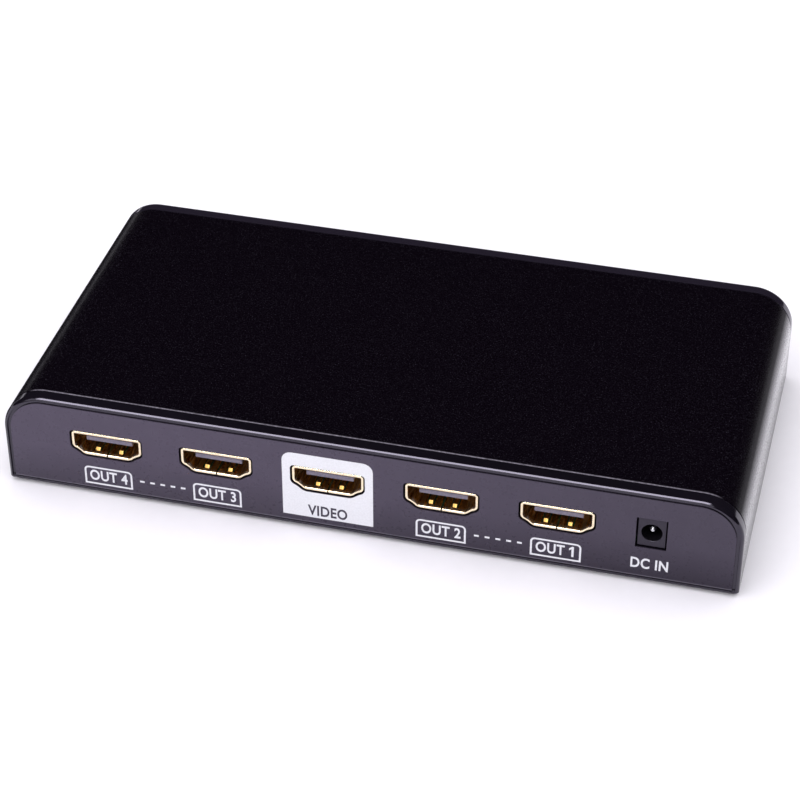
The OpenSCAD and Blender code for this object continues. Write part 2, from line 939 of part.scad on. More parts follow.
// Spring that presses on a plug's sleeve: it tips about its rolled root
module jack_sleeve_spring() {
    half_t = [0, spring_t / 2];
    color("#d5d7da")
        translate([jack_x, jack_front, jack_z]) {
            along_x(spring_w)
                polygon([
                    spring_root + half_t, spring_elbow + half_t, spring_tip + half_t,
                    spring_tip - half_t, spring_elbow - half_t, spring_root - half_t
                ]);
            translate([0, spring_root.x, spring_root.y])
                rotate([0, 90, 0])
                    cylinder(r = spring_root_r, h = spring_w, center = true);
        }
}

// Draws its children on the board at a place from the middle of the case
module on_board(place) {
    translate([place.x, place.y, board_top])
        children();
}

// A row of bent leads along one edge of a chip whose body ends at y = half
module lead_row(count, pitch, width, half) {
    lead_z = chip_lift + lead_knee;
    for (k = [0:count - 1])
        translate([(k - (count - 1) / 2) * pitch, half, 0])
            along_x(width) {
                translate([0, lead_z - lead_t])
                    square([lead_reach / 2, lead_t]);
                translate([lead_reach / 2 - lead_t, 0])
                    square([lead_t, lead_z]);
                translate([lead_reach / 2 - lead_t, 0])
                    square([lead_reach / 2 + lead_t, lead_t]);
            }
}

module splitter_chip() {
    color("#1d1d20")
        on_board(chip_at)
            translate([0, 0, chip_lift])
                block([chip_w, chip_w, chip_t]);
}

module splitter_chip_leads() {
    color("#c4c6c9")
        on_board(chip_at)
            for (turn = [0:90:270])
                rotate(turn)
                    lead_row(chip_leads, chip_pitch, chip_pitch / 2, chip_w / 2);
}

module thermal_pad() {
    color("#8f9aa3")
        on_board(chip_at)
            translate([0, 0, chip_lift + chip_t])
                block([chip_w, chip_w, pad_t]);
}

module heat_sink() {
    fin_gap = (sink_w - fin_count * fin_t) / (fin_count - 1);
    color("#a7abb0")
        on_board(chip_at)
            translate([0, 0, chip_lift + chip_t + pad_t]) {
                block([sink_w, sink_w, sink_floor]);
                for (k = [0:fin_count - 1])
                    translate([-sink_w / 2 + k * (fin_t + fin_gap), -sink_w / 2, sink_floor / 2])
                        cube([fin_t, sink_w, sink_floor / 2 + fin_h]);
            }
}

module controller_chip() {
    color("#1d1d20")
        on_board(controller_at)
            translate([0, 0, chip_lift])
                block(controller_size);
}

module controller_chip_leads() {
    pitch = controller_size.x / controller_leads;
    color("#c4c6c9")
        on_board(controller_at)
            for (turn = [0, 180])
                rotate(turn)
                    lead_row(controller_leads, pitch, pitch / 2, controller_size.y / 2);
}

// Crystal: a can with round ends
module crystal() {
    r = crystal_size.y / 2;
    straight = crystal_size.x - 2 * r;
    color("#c2c5c9")
        on_board(crystal_at)
            linear_extrude(crystal_size.z) {
                square([straight, 2 * r], center = true);
                for (side = [0, 1])
                    mirror([side, 0])
                        translate([straight / 2, 0])
                            intersection() {
                                circle(r);
                                translate([0, -2 * r])
                                    square([2 * r, 4 * r]);
                            }
            }
}

module voltage_regulators() {
    color("#1d1d20")
        for (place = regulator_places)
            on_board(place) {
                block(regulator_size);
                translate([0, regulator_size.y / 2 + regulator_tab.y / 2 - tab_tuck, 0])
                    block(regulator_tab);
            }
}

// Shielded inductor: a ferrite block with chamfered corners and a round core end
module power_inductor() {
    cut = coil_w / 6;
    half = coil_w / 2;
    core_d = 0.7 * coil_w;
    color("#3a3a3e")
        on_board(coil_at) {
            linear_extrude(coil_h)
                polygon([
                    for (turn = [0:90:270], end = [0, 1])
                        let (p = end == 0 ? [half, -half + cut] : [half, half - cut])
                        [p.x * cos(turn) - p.y * sin(turn), p.x * sin(turn) + p.y * cos(turn)]
                ]);
            translate([0, 0, coil_h])
                cylinder(d = core_d, h = coil_core_h);
        }
}

// Electrolytic capacitors: a can on a square foot
module capacitors() {
    foot_w = can_d + 2 * can_foot_edge;
    color("#b4b7bb")
        for (place = can_places)
            on_board(place) {
                block([foot_w, foot_w, can_foot_t]);
                translate([0, 0, can_foot_t])
                    cylinder(d = can_d, h = can_h - can_foot_t);
            }
}

// A row of equal small parts behind every socket
module socket_row(count, pitch, y, size) {
    for (place = [0:4], k = [0:count - 1])
        on_board([port_x(place) + (k - (count - 1) / 2) * pitch, y])
            block(size);
}

module surge_guards() {
    color("#222225")
        socket_row(3, guard_pitch, guard_row, guard_size);
}

module resistors() {
    color("#4a4038")
        socket_row(resistor_count, resistor_pitch, row_start, resistor_size);
}

module indicator_lamps() {
    color("#e8e6d8")
        for (place = [0:light_count - 1])
            translate([light_x(place), board_back, board_top]) {
                translate([-lamp_w / 2, -lamp_d, 0])
                    cube([lamp_w, lamp_d, lamp_h]);
                translate([0, 0, lamp_h / 2])
                    rotate([-90, 0, 0])
                        cylinder(d = lens_d, h = lens_l);
            }
}

// Clear pipes from the lamps through the far panel, each with a collar behind the panel
module light_pipes() {
    pipe_start = board_back + lens_l + light_gap;
    color("#dfe8f0")
        for (place = [0:light_count - 1])
            translate([light_x(place), 0, light_z])
                rotate([-90, 0, 0]) {
                    translate([0, 0, pipe_start])
                        cylinder(d = pipe_d, h = light_end - pipe_start);
                    translate([0, 0, far_panel - collar_t])
                        cylinder(d = pipe_d + 2 * collar_w, h = collar_t);
                }
}

top_cover();
base_plate();
port_end_cap();
indicator_end_cap();
port_label();
indicator_label();
case_screws();
rubber_feet();
circuit_board();
board_spacers();
board_screws();
socket_shell(0);  // output_4_shell
socket_shell(1);  // output_3_shell
socket_shell(2);  // input_shell
socket_shell(3);  // output_2_shell
socket_shell(4);  // output_1_shell
socket_insulator(0);  // output_4_insulator
socket_insulator(1);  // output_3_insulator
socket_insulator(2);  // input_insulator
socket_insulator(3);  // output_2_insulator
socket_insulator(4);  // output_1_insulator
socket_contacts(0);  // output_4_contacts
socket_contacts(1);  // output_3_contacts
socket_contacts(2);  // input_contacts
socket_contacts(3);  // output_2_contacts
socket_contacts(4);  // output_1_contacts
jack_housing();
jack_centre_pin();
jack_sleeve_terminal();
jack_sleeve_spring();
splitter_chip();
splitter_chip_leads();
thermal_pad();
heat_sink();
controller_chip();
controller_chip_leads();
crystal();
voltage_regulators();
power_inductor();
capacitors();
surge_guards();
resistors();
indicator_lamps();
light_pipes();
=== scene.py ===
"""Models the visible pieces, finishes and studio of a flat video splitter box around its frame."""
import json
import math

import bpy
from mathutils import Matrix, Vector


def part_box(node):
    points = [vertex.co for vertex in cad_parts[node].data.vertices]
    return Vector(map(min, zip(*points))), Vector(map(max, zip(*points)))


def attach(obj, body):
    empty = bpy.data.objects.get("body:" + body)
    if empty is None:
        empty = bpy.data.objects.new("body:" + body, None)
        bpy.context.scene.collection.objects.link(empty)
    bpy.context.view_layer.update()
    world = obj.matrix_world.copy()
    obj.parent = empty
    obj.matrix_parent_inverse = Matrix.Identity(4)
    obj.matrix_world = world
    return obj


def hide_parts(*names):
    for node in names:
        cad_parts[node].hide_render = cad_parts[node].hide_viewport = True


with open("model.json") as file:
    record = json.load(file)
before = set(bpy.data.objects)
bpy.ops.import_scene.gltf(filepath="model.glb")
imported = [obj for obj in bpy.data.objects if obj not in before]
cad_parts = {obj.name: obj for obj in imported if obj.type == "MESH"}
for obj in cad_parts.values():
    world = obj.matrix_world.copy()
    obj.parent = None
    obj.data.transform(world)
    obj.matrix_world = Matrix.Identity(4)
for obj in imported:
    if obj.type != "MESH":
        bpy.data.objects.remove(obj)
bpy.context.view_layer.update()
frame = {"nodes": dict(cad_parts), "record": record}

bl_info = {
    "name": "Video splitter box",
    "version": (1, 0, 0),
    "blender": (4, 5, 0),
    "location": "View3D > Sidebar > Splitter",
    "description": "Models a video splitter box around its frame, with its finishes and a studio",
    "category": "Add Mesh",
}

MM = 0.001
NEAR = 0.01 * MM         # distance within which two places count as one
PAST = 1 * MM            # reach of a tool past what it cuts
PANEL_CUT = 5 * MM       # length of the tools that cut a label and the panel behind it
SHARP = math.radians(50)     # angle over which an edge is rounded a little
SMOOTH = math.radians(35)    # angle under which an edge is shaded smooth
FACING = 0.9             # least share of a normal along an axis of a face that faces along it
NOISE_SPAN = (0.3, 0.7)  # range that most of a noise lies in
BODY = "splitter"
PORTS = ("output_4", "output_3", "input", "output_2", "output_1")
OUTPUTS = {"output_4": "4", "output_3": "3", "output_2": "2", "output_1": "1"}
LIGHTS = ("1", "2", "3", "4", "IN", "ON")
FIGURE_HEIGHT = 0.69     # height of a figure as a share of its text size
FIGURE_RISE = 0.04       # rise of a figure's middle over its text's place, as a share of the text size
FIGURE_ONE = (           # corners of the figure one as shares of its height, about its middle
    (0.09, -0.5), (0.09, 0.5), (-0.04, 0.5), (-0.28, 0.31), (-0.28, 0.12), (-0.09, 0.25), (-0.09, -0.5))
DASHES = 5               # dashes in a row between two outputs
PANELS = {               # place and size of each light panel in metres
    "ceiling": ((0, 0, 1.6), (5, 5)),
    "front_panel": ((-0.3, -0.85, 0.55), (1.4, 0.7)),
    "shine_panel": ((-0.12, -0.46, 0.78), (0.8, 0.55)),
}
DIM_ROOM = (0.01, 0.01, 0.012, 1)    # light that comes from all round
FLOOR = 6                # side of the studio floor in metres
SENSOR = 36              # width of the camera's sensor in millimetres
SIGHT = (0.01, 20)       # nearest and farthest distance that the camera sees in metres


# Properties

def length(name, description, millimetres):
    """A length property, given in millimetres and kept in metres."""
    return bpy.props.FloatProperty(
        name=name, description=description, default=millimetres * MM, precision=5, unit="LENGTH")


def angle(name, description, degrees):
    """An angle property, given in degrees and kept in radians."""
    return bpy.props.FloatProperty(
        name=name, description=description, default=math.radians(degrees), unit="ROTATION")


def amount(name, description, value):
    """A plain number property."""
    return bpy.props.FloatProperty(name=name, description=description, default=value)


def linear(level):
    """Linear light of one channel of a screen colour, which runs from 0 to 255."""
    share = level / 255
    if share <= 0.04045:
        return share / 12.92
    return ((share + 0.055) / 1.055) ** 2.4


def screen(levels):
    """Linear light of a screen colour."""
    return [linear(level) for level in levels]


def colour(name, description, *levels):
    """A colour property, given as a screen colour and kept as linear light."""
    return bpy.props.FloatVectorProperty(
        name=name, description=description, subtype="COLOR", size=3, min=0, max=1, default=screen(levels))


class SplitterCase(bpy.types.PropertyGroup):
    """Sizes of the cover, the end caps and the feet"""
    edge_radius: length("Edge radius", "Radius of the two long upper edges", 9)
    wall: length("Wall", "Wall of the cover", 1.5)
    # This rounding also sets the width of the pale band on the cover's cut edge, which is partly rubbed
    # coating and partly a painted highlight.
    edge_rounding: length("Worn edge", "Rounding of the cover's cut edges", 0.3)
    ledge_width: length("Ledge width", "Width of the cover's inner ledges", 1.5)
    ledge_height: length("Ledge height", "Height of the cover's inner ledges", 1)
    ledge_setback: length("Ledge setback", "Distance of the ledges from the cover's ends", 4.1)
    fit: length("Fit", "Play between pieces that slide into each other", 0.15)
    cap_depth: length("Cap depth", "Depth of an end cap that shows", 3)
    cap_round: length("Cap rounding", "Rounding of an end cap's outer edge", 1)
    cap_sill: length("Cap sill", "Strip of an end cap under its label", 0.5)
    cap_recess: length("Cap recess", "Depth of the recess that holds the label", 0.5)
    cap_panel: length("Cap panel", "Thickness of an end cap behind its label", 1.5)
    reach: length("Reach", "Reach of an end cap into the cover", 4)
    reach_wall: length("Reach wall", "Wall of that reach", 1.2)
    fine_edge: length("Fine edge", "Rounding of moulded edges", 0.14)
    boss_width: length("Boss width", "Diameter of a screw boss", 5.5)
    boss_height: length("Boss height", "Height of a screw boss", 5)
    boss_web: length("Boss web", "Width of the web that carries a screw boss", 3.5)
    screw_head: length("Screw head", "Head diameter of a case screw", 4.4)
    screw_bore: length("Screw bore", "Bore of a screw boss", 2.6)
    label_groove: length("Label groove", "Strip of the recess free at a label's sides and top", 0.2)
    label_corner: length("Label corner", "Radius of a label's upper corners", 7.55)
    label_edge: length("Label edge", "Rounding of a label's edges", 0.05)
    foot_width: length("Foot width", "Diameter of a foot", 9)
    foot_round: length("Foot rounding", "Rounding of a foot's lower edge", 0.4)
    foot_rim: length("Foot rim", "Width of a foot's rim round its hollow", 1.3)
    foot_hollow: length("Foot hollow", "Depth of the hollow under a foot", 0.25)


class SplitterSockets(bpy.types.PropertyGroup):
    """Sizes of the video sockets, the power jack and the light pipes"""
    width: length("Width", "Width of a socket's opening", 14)
    height: length("Height", "Height of a socket's opening", 4.55)
    side: length("Side", "Height of the opening's straight sides", 3.05)
    knee_width: length("Knee width", "Width of the opening where its shoulders turn down", 11.7)
    knee_drop: length("Knee drop", "Drop of the shoulders", 0.5)
    floor_width: length("Floor width", "Width of the opening's floor", 9.6)
    corner: length("Corner", "Rounding of the opening's corners", 0.4)
    sheet: length("Sheet", "Sheet thickness of a shell", 0.35)
    rim_width: length("Rim width", "Width of a shell's front rim", 0.6)
    rim_depth: length("Rim depth", "Depth of a shell's front rim", 0.6)
    rim_round: length("Rim rounding", "Rounding of the rim's two edges", 0.2)
    room: length("Room", "Gap round a rim in the panel and the label", 0.3)
    joint: length("Joint", "Gap of a shell's joint under its opening", 0.3)
    finger_width: length("Finger width", "Width of a spring finger", 1.1)
    finger_offset: length("Finger offset", "Distance of a spring finger from the socket's middle", 2.5)
    finger_length: length("Finger length", "Length of a spring finger", 4.6)
    finger_rise: length("Finger rise", "Rise of a spring finger into the opening", 0.35)
    finger_crest: length("Finger crest", "Distance of a finger's crest behind its tip", 0.52)
    finger_tip: length("Finger tip", "Depth of a finger's tip below the shell's floor", 0.3)
    finger_bend: length("Finger bend", "Distance of a finger's rear bend behind its tip", 3.4)
    finger_edge: length("Finger edge", "Rounding of a finger's long inner edges", 0.2)
    finger_cut: length("Finger cut", "Cut all round a spring finger", 0.25)
    finger_setback: length("Finger setback", "Distance of a finger's tip behind the rim", 1.35)
    leg_width: length("Leg width", "Width of a shell's leg", 1.4)
    leg_front: length("Front leg", "Distance of the front legs behind the rim", 3.9)
    leg_back: length("Back leg", "Distance of the back legs behind the rim", 9.4)
    leg_top: length("Leg top", "Depth of the legs' upper ends below the socket's middle", 0.275)
    leg_tip: length("Leg tip", "Taper of a leg's tip", 0.3)
    jack_room: length("Jack room", "Gap round the jack in the panel and the label", 0.25)
    jack_nose: length("Jack nose", "Depth of the jack's full face", 1.6)
    jack_step: length("Jack step", "Depth of the jack's floor below its axis", 2.6)
    jack_bore: length("Jack bore", "Diameter of the jack's bore", 4.2)
    jack_bore_depth: length("Bore depth", "Depth of the jack's bore", 8.5)
    jack_mouth: length("Jack mouth", "Rounding of the bore's mouth", 0.12)
    jack_root: length("Jack root", "Bore behind the centre pin", 0.9)
    jack_edge: length("Jack edge", "Rounding of the jack's edges", 0.2)
    slot_width: length("Slot width", "Width of the slot for the jack's spring", 2.4)
    slot_front: length("Slot front", "Distance of that slot behind the jack's face", 2.3)
    slot_top: length("Slot top", "Height of that slot over the jack's axis", 3.1)
    pocket_front: length("Pocket front", "Distance of the spring's seat behind the jack's face", 8.3)
    pocket_floor: length("Pocket floor", "Height of the seat's floor over the jack's axis", 1.9)
    pipe: length("Light pipe", "Diameter of a light pipe", 2.5)
    pipe_dome: length("Light dome", "Rounding of a light pipe's end", 0.7)
    collar: length("Collar", "Diameter of a light pipe's collar", 3.7)
    collar_depth: length("Collar depth", "Thickness of a light pipe's collar", 0.8)


class SplitterPrint(bpy.types.PropertyGroup):
    """Places and sizes of the print on the labels"""
    ink: length("Ink", "Thickness of the ink", 0.03)
    plate_width: length("Plate width", "Width of the white field round the input", 19.2)
    plate_low: length("Plate foot", "Height of the white field's foot", 3.1)
    plate_high: length("Plate top", "Height of the white field's top", 19.2)
    plate_corner: length("Plate corner", "Radius of the white field's upper corners", 2.1)
    frame_width: length("Frame width", "Width of the line frame under an output", 10.5)
    frame_low: length("Frame foot", "Height of a line frame's foot", 2.6)
    frame_high: length("Frame top", "Height of a line frame's top", 7.2)
    frame_corner: length("Frame corner", "Radius of a line frame's upper corners", 1)
    frame_line: length("Frame line", "Width of a frame's line", 0.4)
    dash_width: length("Dash width", "Width of a dash between two outputs", 1)
    dash_height: length("Dash height", "Height of a dash", 0.45)
    dash_step: length("Dash step", "Distance from one dash to the next", 2.23)
    dash_place: length("Dash place", "Height of the row of dashes", 5.2)
    text_size: length("Text size", "Size of the lettering", 3.6)
    text_weight: length("Text weight", "Growth that makes the lettering bold", 0.085)
    text_narrow: amount("Text narrowing", "Width of the lettering as a share of its natural width", 0.76)
    text_spacing: amount("Text spacing", "Letter spacing as a share of the font's own", 1.06)
    text_place: length("Text place", "Height of the lettering's middle", 4.87)
    word_shift: length("Word shift", "Move of an output's word to the left, beside its number", 1.15)
    digit_shift: length("Digit shift", "Move of an output's number to the right, beside its word", 3.5)
    light_text: length("Light text", "Height of the marks over the lights", 15.0)


class SplitterColours(bpy.types.PropertyGroup):
    """Colours of the outer finishes"""
    cover: colour("Cover", "Coating of the cover", 7, 4, 9)
    speck: colour("Speck", "Pale grains in the coating", 46, 43, 52)
    # Pale tone painted on the cover's upper cut edge at the ports and on the label's foot: partly rubbed
    # coating and cut edge, partly a painted highlight.
    worn_and_highlit: colour("Worn edge", "Cover's upper cut edge at the ports, where the coating is worn", 140, 134, 148)
    cap: colour("Caps", "Gloss plastic of the end caps", 16, 13, 20)
    sheen: colour("Sheen", "Tint of the reflections on the case", 238, 230, 255)
    label: colour("Label", "Film of the labels", 66, 59, 74)
    label_dark: colour("Label cloud", "Darker clouds in the film", 63, 56, 71)
    # Painted shade: the tone that the film is darkened to towards the right and its foot.
    label_painted_shade: colour("Label fade", "Tone that the film fades to", 26, 23, 30)
    ink: colour("Ink", "White ink on the labels", 228, 228, 235)
    gold: colour("Gold", "Plating of the socket rims", 255, 238, 205)
    # Painted shade: a deeper gold for the plating inside the sockets, standing in for their shade and
    # inter-reflection.
    gold_painted_shade: colour("Inner gold", "Plating inside the sockets", 225, 180, 105)
    floor: colour("Floor", "Studio floor", 245, 242, 250)


class SplitterStage(bpy.types.PropertyGroup):
    """Camera and lights of the studio"""
    azimuth: angle("Azimuth", "Turn of the camera to the right of the port side", 14.2)
    elevation: angle("Elevation", "Height of the camera over the horizon", 36.76)
    distance: length("Distance", "Distance of the camera from the frame's origin", 540.2)
    side: length("Sideways", "Move of the camera to its right", -2.0)
    rise: length("Rise", "Move of the camera upwards", 5.696)
    lens: amount("Lens", "Focal length on a 36 mm wide sensor, in millimetres", 111.4)
    mat: length("Mat", "Size of the dark mat that the cover's left edge mirrors", 150)
    ceiling: amount("Ceiling", "Power of the wide soft ceiling in watts", 122)
    front: amount("Front", "Power of the front panel in watts", 4.5)
    shine: amount("Shine", "Power of the panel that the glossy edges mirror in watts", 14)


# Shaping

def use(piece):
    """Selects one piece alone and makes it active."""
    bpy.ops.object.select_all(action="DESELECT")
    piece.select_set(True)
    bpy.context.view_layer.objects.active = piece


def pick(piece, kind, test):
    """Opens a piece for editing with only what passes the test selected.

    A face is tested by its middle and normal, an edge by its ends and a vertex by its place."""
    use(piece)
    mesh = piece.data
    corners = [vertex.co for vertex in mesh.vertices]
    for group in (mesh.vertices, mesh.edges, mesh.polygons):
        group.foreach_set("select", [False] * len(group))
    if kind == "FACE":
        chosen = [face for face in mesh.polygons if test(face.center, face.normal)]
    elif kind == "EDGE":
        chosen = [edge for edge in mesh.edges if test(*(corners[end] for end in edge.vertices))]
    else:
        chosen = [vertex for vertex in mesh.vertices if test(vertex.co)]
    if not chosen:
        raise RuntimeError(f"nothing to shape on {piece.name}")
    for part in chosen:
        part.select = True
    bpy.context.tool_settings.mesh_select_mode = [kind == mode for mode in ("VERT", "EDGE", "FACE")]
    bpy.ops.object.mode_set(mode="EDIT")


def done():
    """Closes the piece that is open for editing."""
    bpy.ops.object.mode_set(mode="OBJECT")


def everything(*place):
    """A test that all faces, edges and vertices pass."""
    return True


def new_piece(name):
    """Names the primitive that was just added and opens it with all of it selected."""
    piece = bpy.context.object
    piece.name = name
    pick(piece, "VERT", everything)
    return piece


def add_box(name, low, high):
    """Adds a box between two corners."""
    bpy.ops.object.select_all(action="DESELECT")
    bpy.ops.mesh.primitive_cube_add(size=1)
    box = new_piece(name)
    bpy.ops.transform.resize(value=high - low, center_override=(0, 0, 0))
    bpy.ops.transform.translate(value=(low + high) / 2)
    done()
    return box


def add_arch(name, low, high, radius, steps=24):
    """Adds a box whose two upper edges along Y are rounded."""
    arch = add_box(name, low, high)
    top = high.z - NEAR
    bevel_edges(arch, lambda a, b: a.z > top and b.z > top and abs(a.x - b.x) < NEAR, radius, steps)
    return arch


def draw_path(name, points):
    """Draws a chain of edges from point to point, out of a plane drawn together to one vertex."""
    bpy.ops.object.select_all(action="DESELECT")
    bpy.ops.mesh.primitive_plane_add(size=MM)
    path = new_piece(name)
    bpy.ops.mesh.merge(type="CENTER")
    bpy.ops.transform.translate(value=points[0])
    for start, end in zip(points, points[1:]):
        bpy.ops.mesh.extrude_vertices_move(TRANSFORM_OT_translate={"value": end - start})
    done()
    return path


def draw_face(name, points):
    """Draws a flat face through points."""
    face = draw_path(name, points)
    pick(face, "VERT", everything)
    bpy.ops.mesh.edge_face_add()
    done()
    return face


def round_corners(face, test, radius, steps=5):
    """Rounds the corners of a flat face that pass the test."""
    pick(face, "VERT", test)
    bpy.ops.mesh.bevel(offset=radius, segments=steps, affect="VERTICES")
    done()


def hollow_face(face, width):
    """Leaves only a border of a flat face."""
    pick(face, "FACE", everything)
    bpy.ops.mesh.inset(thickness=width, use_even_offset=True)
    bpy.ops.mesh.delete(type="FACE")
    done()


def raise_face(face, run):
    """Extrudes a flat face into a closed solid."""
    pick(face, "FACE", everything)
    bpy.ops.mesh.extrude_region_move(TRANSFORM_OT_translate={"value": run})
    bpy.ops.mesh.select_all(action="SELECT")
    bpy.ops.mesh.normals_make_consistent(inside=False)
    done()
    return face


def spin_path(path, centre, axis, steps=40):
    """Spins a chain of edges about an axis into a closed body."""
    pick(path, "VERT", everything)
    bpy.ops.mesh.spin(steps=steps, angle=2 * math.pi, center=centre, axis=axis)
    bpy.ops.mesh.select_all(action="SELECT")
    bpy.ops.mesh.remove_doubles(threshold=NEAR / 10)
    bpy.ops.mesh.normals_make_consistent(inside=False)
    done()
    return path


def bevel_edges(piece, test, width, steps):
    """Rounds the edges of a piece that pass the test."""
    pick(piece, "EDGE", test)
    bpy.ops.mesh.bevel(offset=width, segments=steps, affect="EDGES")
    done()


def extrude_faces(piece, test, run):
    """Extrudes the faces of a piece that pass the test."""
    pick(piece, "FACE", test)
    bpy.ops.mesh.extrude_region_move(TRANSFORM_OT_translate={"value": run})
    done()


def modify(piece, kind, **settings):
    """Gives a piece a modifier with these settings and applies it."""
    use(piece)
    modifier = piece.modifiers.new(kind, kind)
    for name, value in settings.items():
        setattr(modifier, name, value)
    bpy.ops.object.modifier_apply(modifier=modifier.name)


def fine_edges(piece, width, steps=2):
    """Rounds all sharp edges of a piece a little."""
    modify(piece, "BEVEL", width=width, segments=steps, limit_method="ANGLE", angle_limit=SHARP)


def combine(piece, tool, operation):
    """Joins a tool to a piece or cuts with it, and removes the tool."""
    modify(piece, "BOOLEAN", operation=operation, object=tool, solver="EXACT")
    bpy.data.objects.remove(tool)


def cut(piece, tool):
    """Cuts a tool out of a piece."""
    combine(piece, tool, "DIFFERENCE")


def fuse(piece, tool):
    """Grows a tool onto a piece."""
    combine(piece, tool, "UNION")


def join(name, pieces):
    """Makes one piece of several."""
    use(pieces[0])
    for piece in pieces:
        piece.select_set(True)
    bpy.ops.object.join()
    pieces[0].name = name
    return pieces[0]


def copy_piece(source, name, move=Vector((0, 0, 0))):
    """Copies a piece with a mesh of its own, moved from its source."""
    use(source)
    bpy.ops.object.duplicate()
    copied = new_piece(name)
    bpy.ops.transform.translate(value=move)
    done()
    return copied


def turn_round(piece):
    """Turns a piece from the port side to the far side."""
    pick(piece, "VERT", everything)
    bpy.ops.transform.rotate(value=math.pi, orient_axis="Z", center_override=(0, 0, 0))
    done()
    return piece


def dress(piece, slot, *nodes, look=None):
    """Smooths a finished piece, gives it its finish and lets it stand for its CAD nodes."""
    use(piece)
    bpy.ops.object.shade_smooth_by_angle(angle=SMOOTH)
    modify(piece, "WEIGHTED_NORMAL", keep_sharp=True)
    piece.data.materials.clear()
    piece.data.materials.append(look or finish(slot))
    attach(piece, BODY)
    if nodes:
        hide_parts(*nodes)


def edge_normal(start, end):
    """Outward normal of one edge of an outline that runs anticlockwise."""
    run = (end - start).normalized()
    return Vector((run.y, -run.x))


def grown(corners, width):
    """Moves an outline that runs anticlockwise outwards."""
    moved = []
    for place, corner in enumerate(corners):
        before = edge_normal(corners[place - 1], corner)
        after = edge_normal(corner, corners[(place + 1) % len(corners)])
        moved.append(corner + width * (before + after) / (1 + before.dot(after)))
    return moved


def upright(corners, x, y, z):
    """Stands an outline upright about a place, facing the port side."""
    return [Vector((x + corner.x, y, z + corner.y)) for corner in corners]


def on_ring(places, middle, radius):
    """True if all places lie on a ring, seen along its axis."""
    return all(abs((place - middle).length - radius) < NEAR for place in places)


def middle_x(node):
    """Middle of a CAD node across the box."""
    low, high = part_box(node)
    return (low.x + high.x) / 2


# Room for the sockets and lights

def socket_corners(sockets, growth):
    """Corners of a socket's outline about its middle, grown outwards."""
    top = sockets.height / 2
    shoulder = top - sockets.side
    right = [
        Vector((sockets.floor_width / 2, -top)),
        Vector((sockets.knee_width / 2, shoulder - sockets.knee_drop)),
        Vector((sockets.width / 2, shoulder)),
        Vector((sockets.width / 2, top)),
    ]
    left = [Vector((-corner.x, corner.y)) for corner in reversed(right)]
    return grown(right + left, growth)


def socket_axis(sockets):
    """Height of the sockets' middles."""
    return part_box("input_shell")[1].z - sockets.rim_width - sockets.height / 2


def port_tool(sockets):
    """A tool that cuts the room for all sockets and for the jack."""
    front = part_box("port_end_cap")[0].y - PAST
    run = Vector((0, PANEL_CUT, 0))
    growth = sockets.rim_width + sockets.room
    tools = []
    for port in PORTS:
        outline = upright(
            socket_corners(sockets, growth), middle_x(f"{port}_shell"), front, socket_axis(sockets))
        tool = draw_face("port_room", outline)
        round_corners(tool, everything, sockets.corner + growth / 2)
        tools.append(raise_face(tool, run))
    low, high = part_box("jack_housing")
    room = Vector((sockets.jack_room, 0, sockets.jack_room))
    low.y = front
    high.y = front + run.y
    tools.append(add_box("jack_room", low - room, high + room))
    return join("port_tool", tools)


def light_places():
    """Middles of the light pipes across the box, and their height."""
    low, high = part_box("light_pipes")
    collar = bpy.context.scene.splitter_sockets.collar
    first = low.x + collar / 2
    step = (high.x - low.x - collar) / (len(LIGHTS) - 1)
    return [first + place * step for place in range(len(LIGHTS))], (low.z + high.z) / 2


def add_rod(name, start, run, radius, steps=40):
    """Adds a round rod from a point along a run that lies along Y or Z."""
    bpy.ops.object.select_all(action="DESELECT")
    bpy.ops.mesh.primitive_circle_add(vertices=steps, radius=radius, fill_type="NGON")
    rod = new_piece(name)
    if abs(run.y) > abs(run.z):
        bpy.ops.transform.rotate(value=math.pi / 2, orient_axis="X", center_override=(0, 0, 0))
    bpy.ops.transform.translate(value=start)
    done()
    return raise_face(rod, run)


def light_tool(case, sockets):
    """A tool that cuts the holes for the light pipes."""
    places, height = light_places()
    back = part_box("indicator_end_cap")[1].y + PAST
    radius = sockets.pipe / 2 + case.fit
    tools = []
    for x in places:
        tools.append(add_rod("light_room", Vector((x, back, height)), Vector((0, -PANEL_CUT, 0)), radius))
    return join("light_tool", tools)


# Case

def model_cover(case):
    """Models the wrapped cover with its ledges."""
    low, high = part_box("top_cover")
    cover = add_arch("wrapped_cover", low, high, case.edge_radius, steps=32)
    pick(cover, "FACE", lambda middle, normal: normal.z < -FACING or abs(normal.y) > FACING)
    bpy.ops.mesh.delete(type="FACE")
    done()
    modify(cover, "SOLIDIFY", thickness=case.wall, offset=-1, use_even_offset=True)
    fine_edges(cover, case.edge_rounding, steps=3)
    inner = high.x - case.wall
    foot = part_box("base_plate")[1].z + case.fit
    for side in (-1, 1):
        ends = sorted((side * (inner - case.ledge_width), side * (inner + case.wall / 2)))
        ledge = add_box(
            "ledge",
            Vector((ends[0], low.y + case.ledge_setback, foot)),
            Vector((ends[1], high.y - case.ledge_setback, foot + case.ledge_height)))
        fuse(cover, ledge)
    return cover


def add_boss(cap, case, side, panel_back):
    """Grows a screw boss and its web onto an end cap."""
    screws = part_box("case_screws")
    x = side * (screws[1].x - case.screw_head / 2)
    y = screws[0].y + case.screw_head / 2
    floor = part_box("base_plate")[1].z
    top = floor + case.boss_height
    half = case.boss_web / 2
    fuse(cap, add_box("web", Vector((x - half, panel_back - PAST / 2, floor)), Vector((x + half, y, top))))
    rise = Vector((0, 0, case.boss_height))
    fuse(cap, add_rod("boss", Vector((x, y, floor)), rise, case.boss_width / 2))
    bore = Vector((x, y, floor - PAST))
    cut(cap, add_rod("bore", bore, rise, case.screw_bore / 2, steps=32))


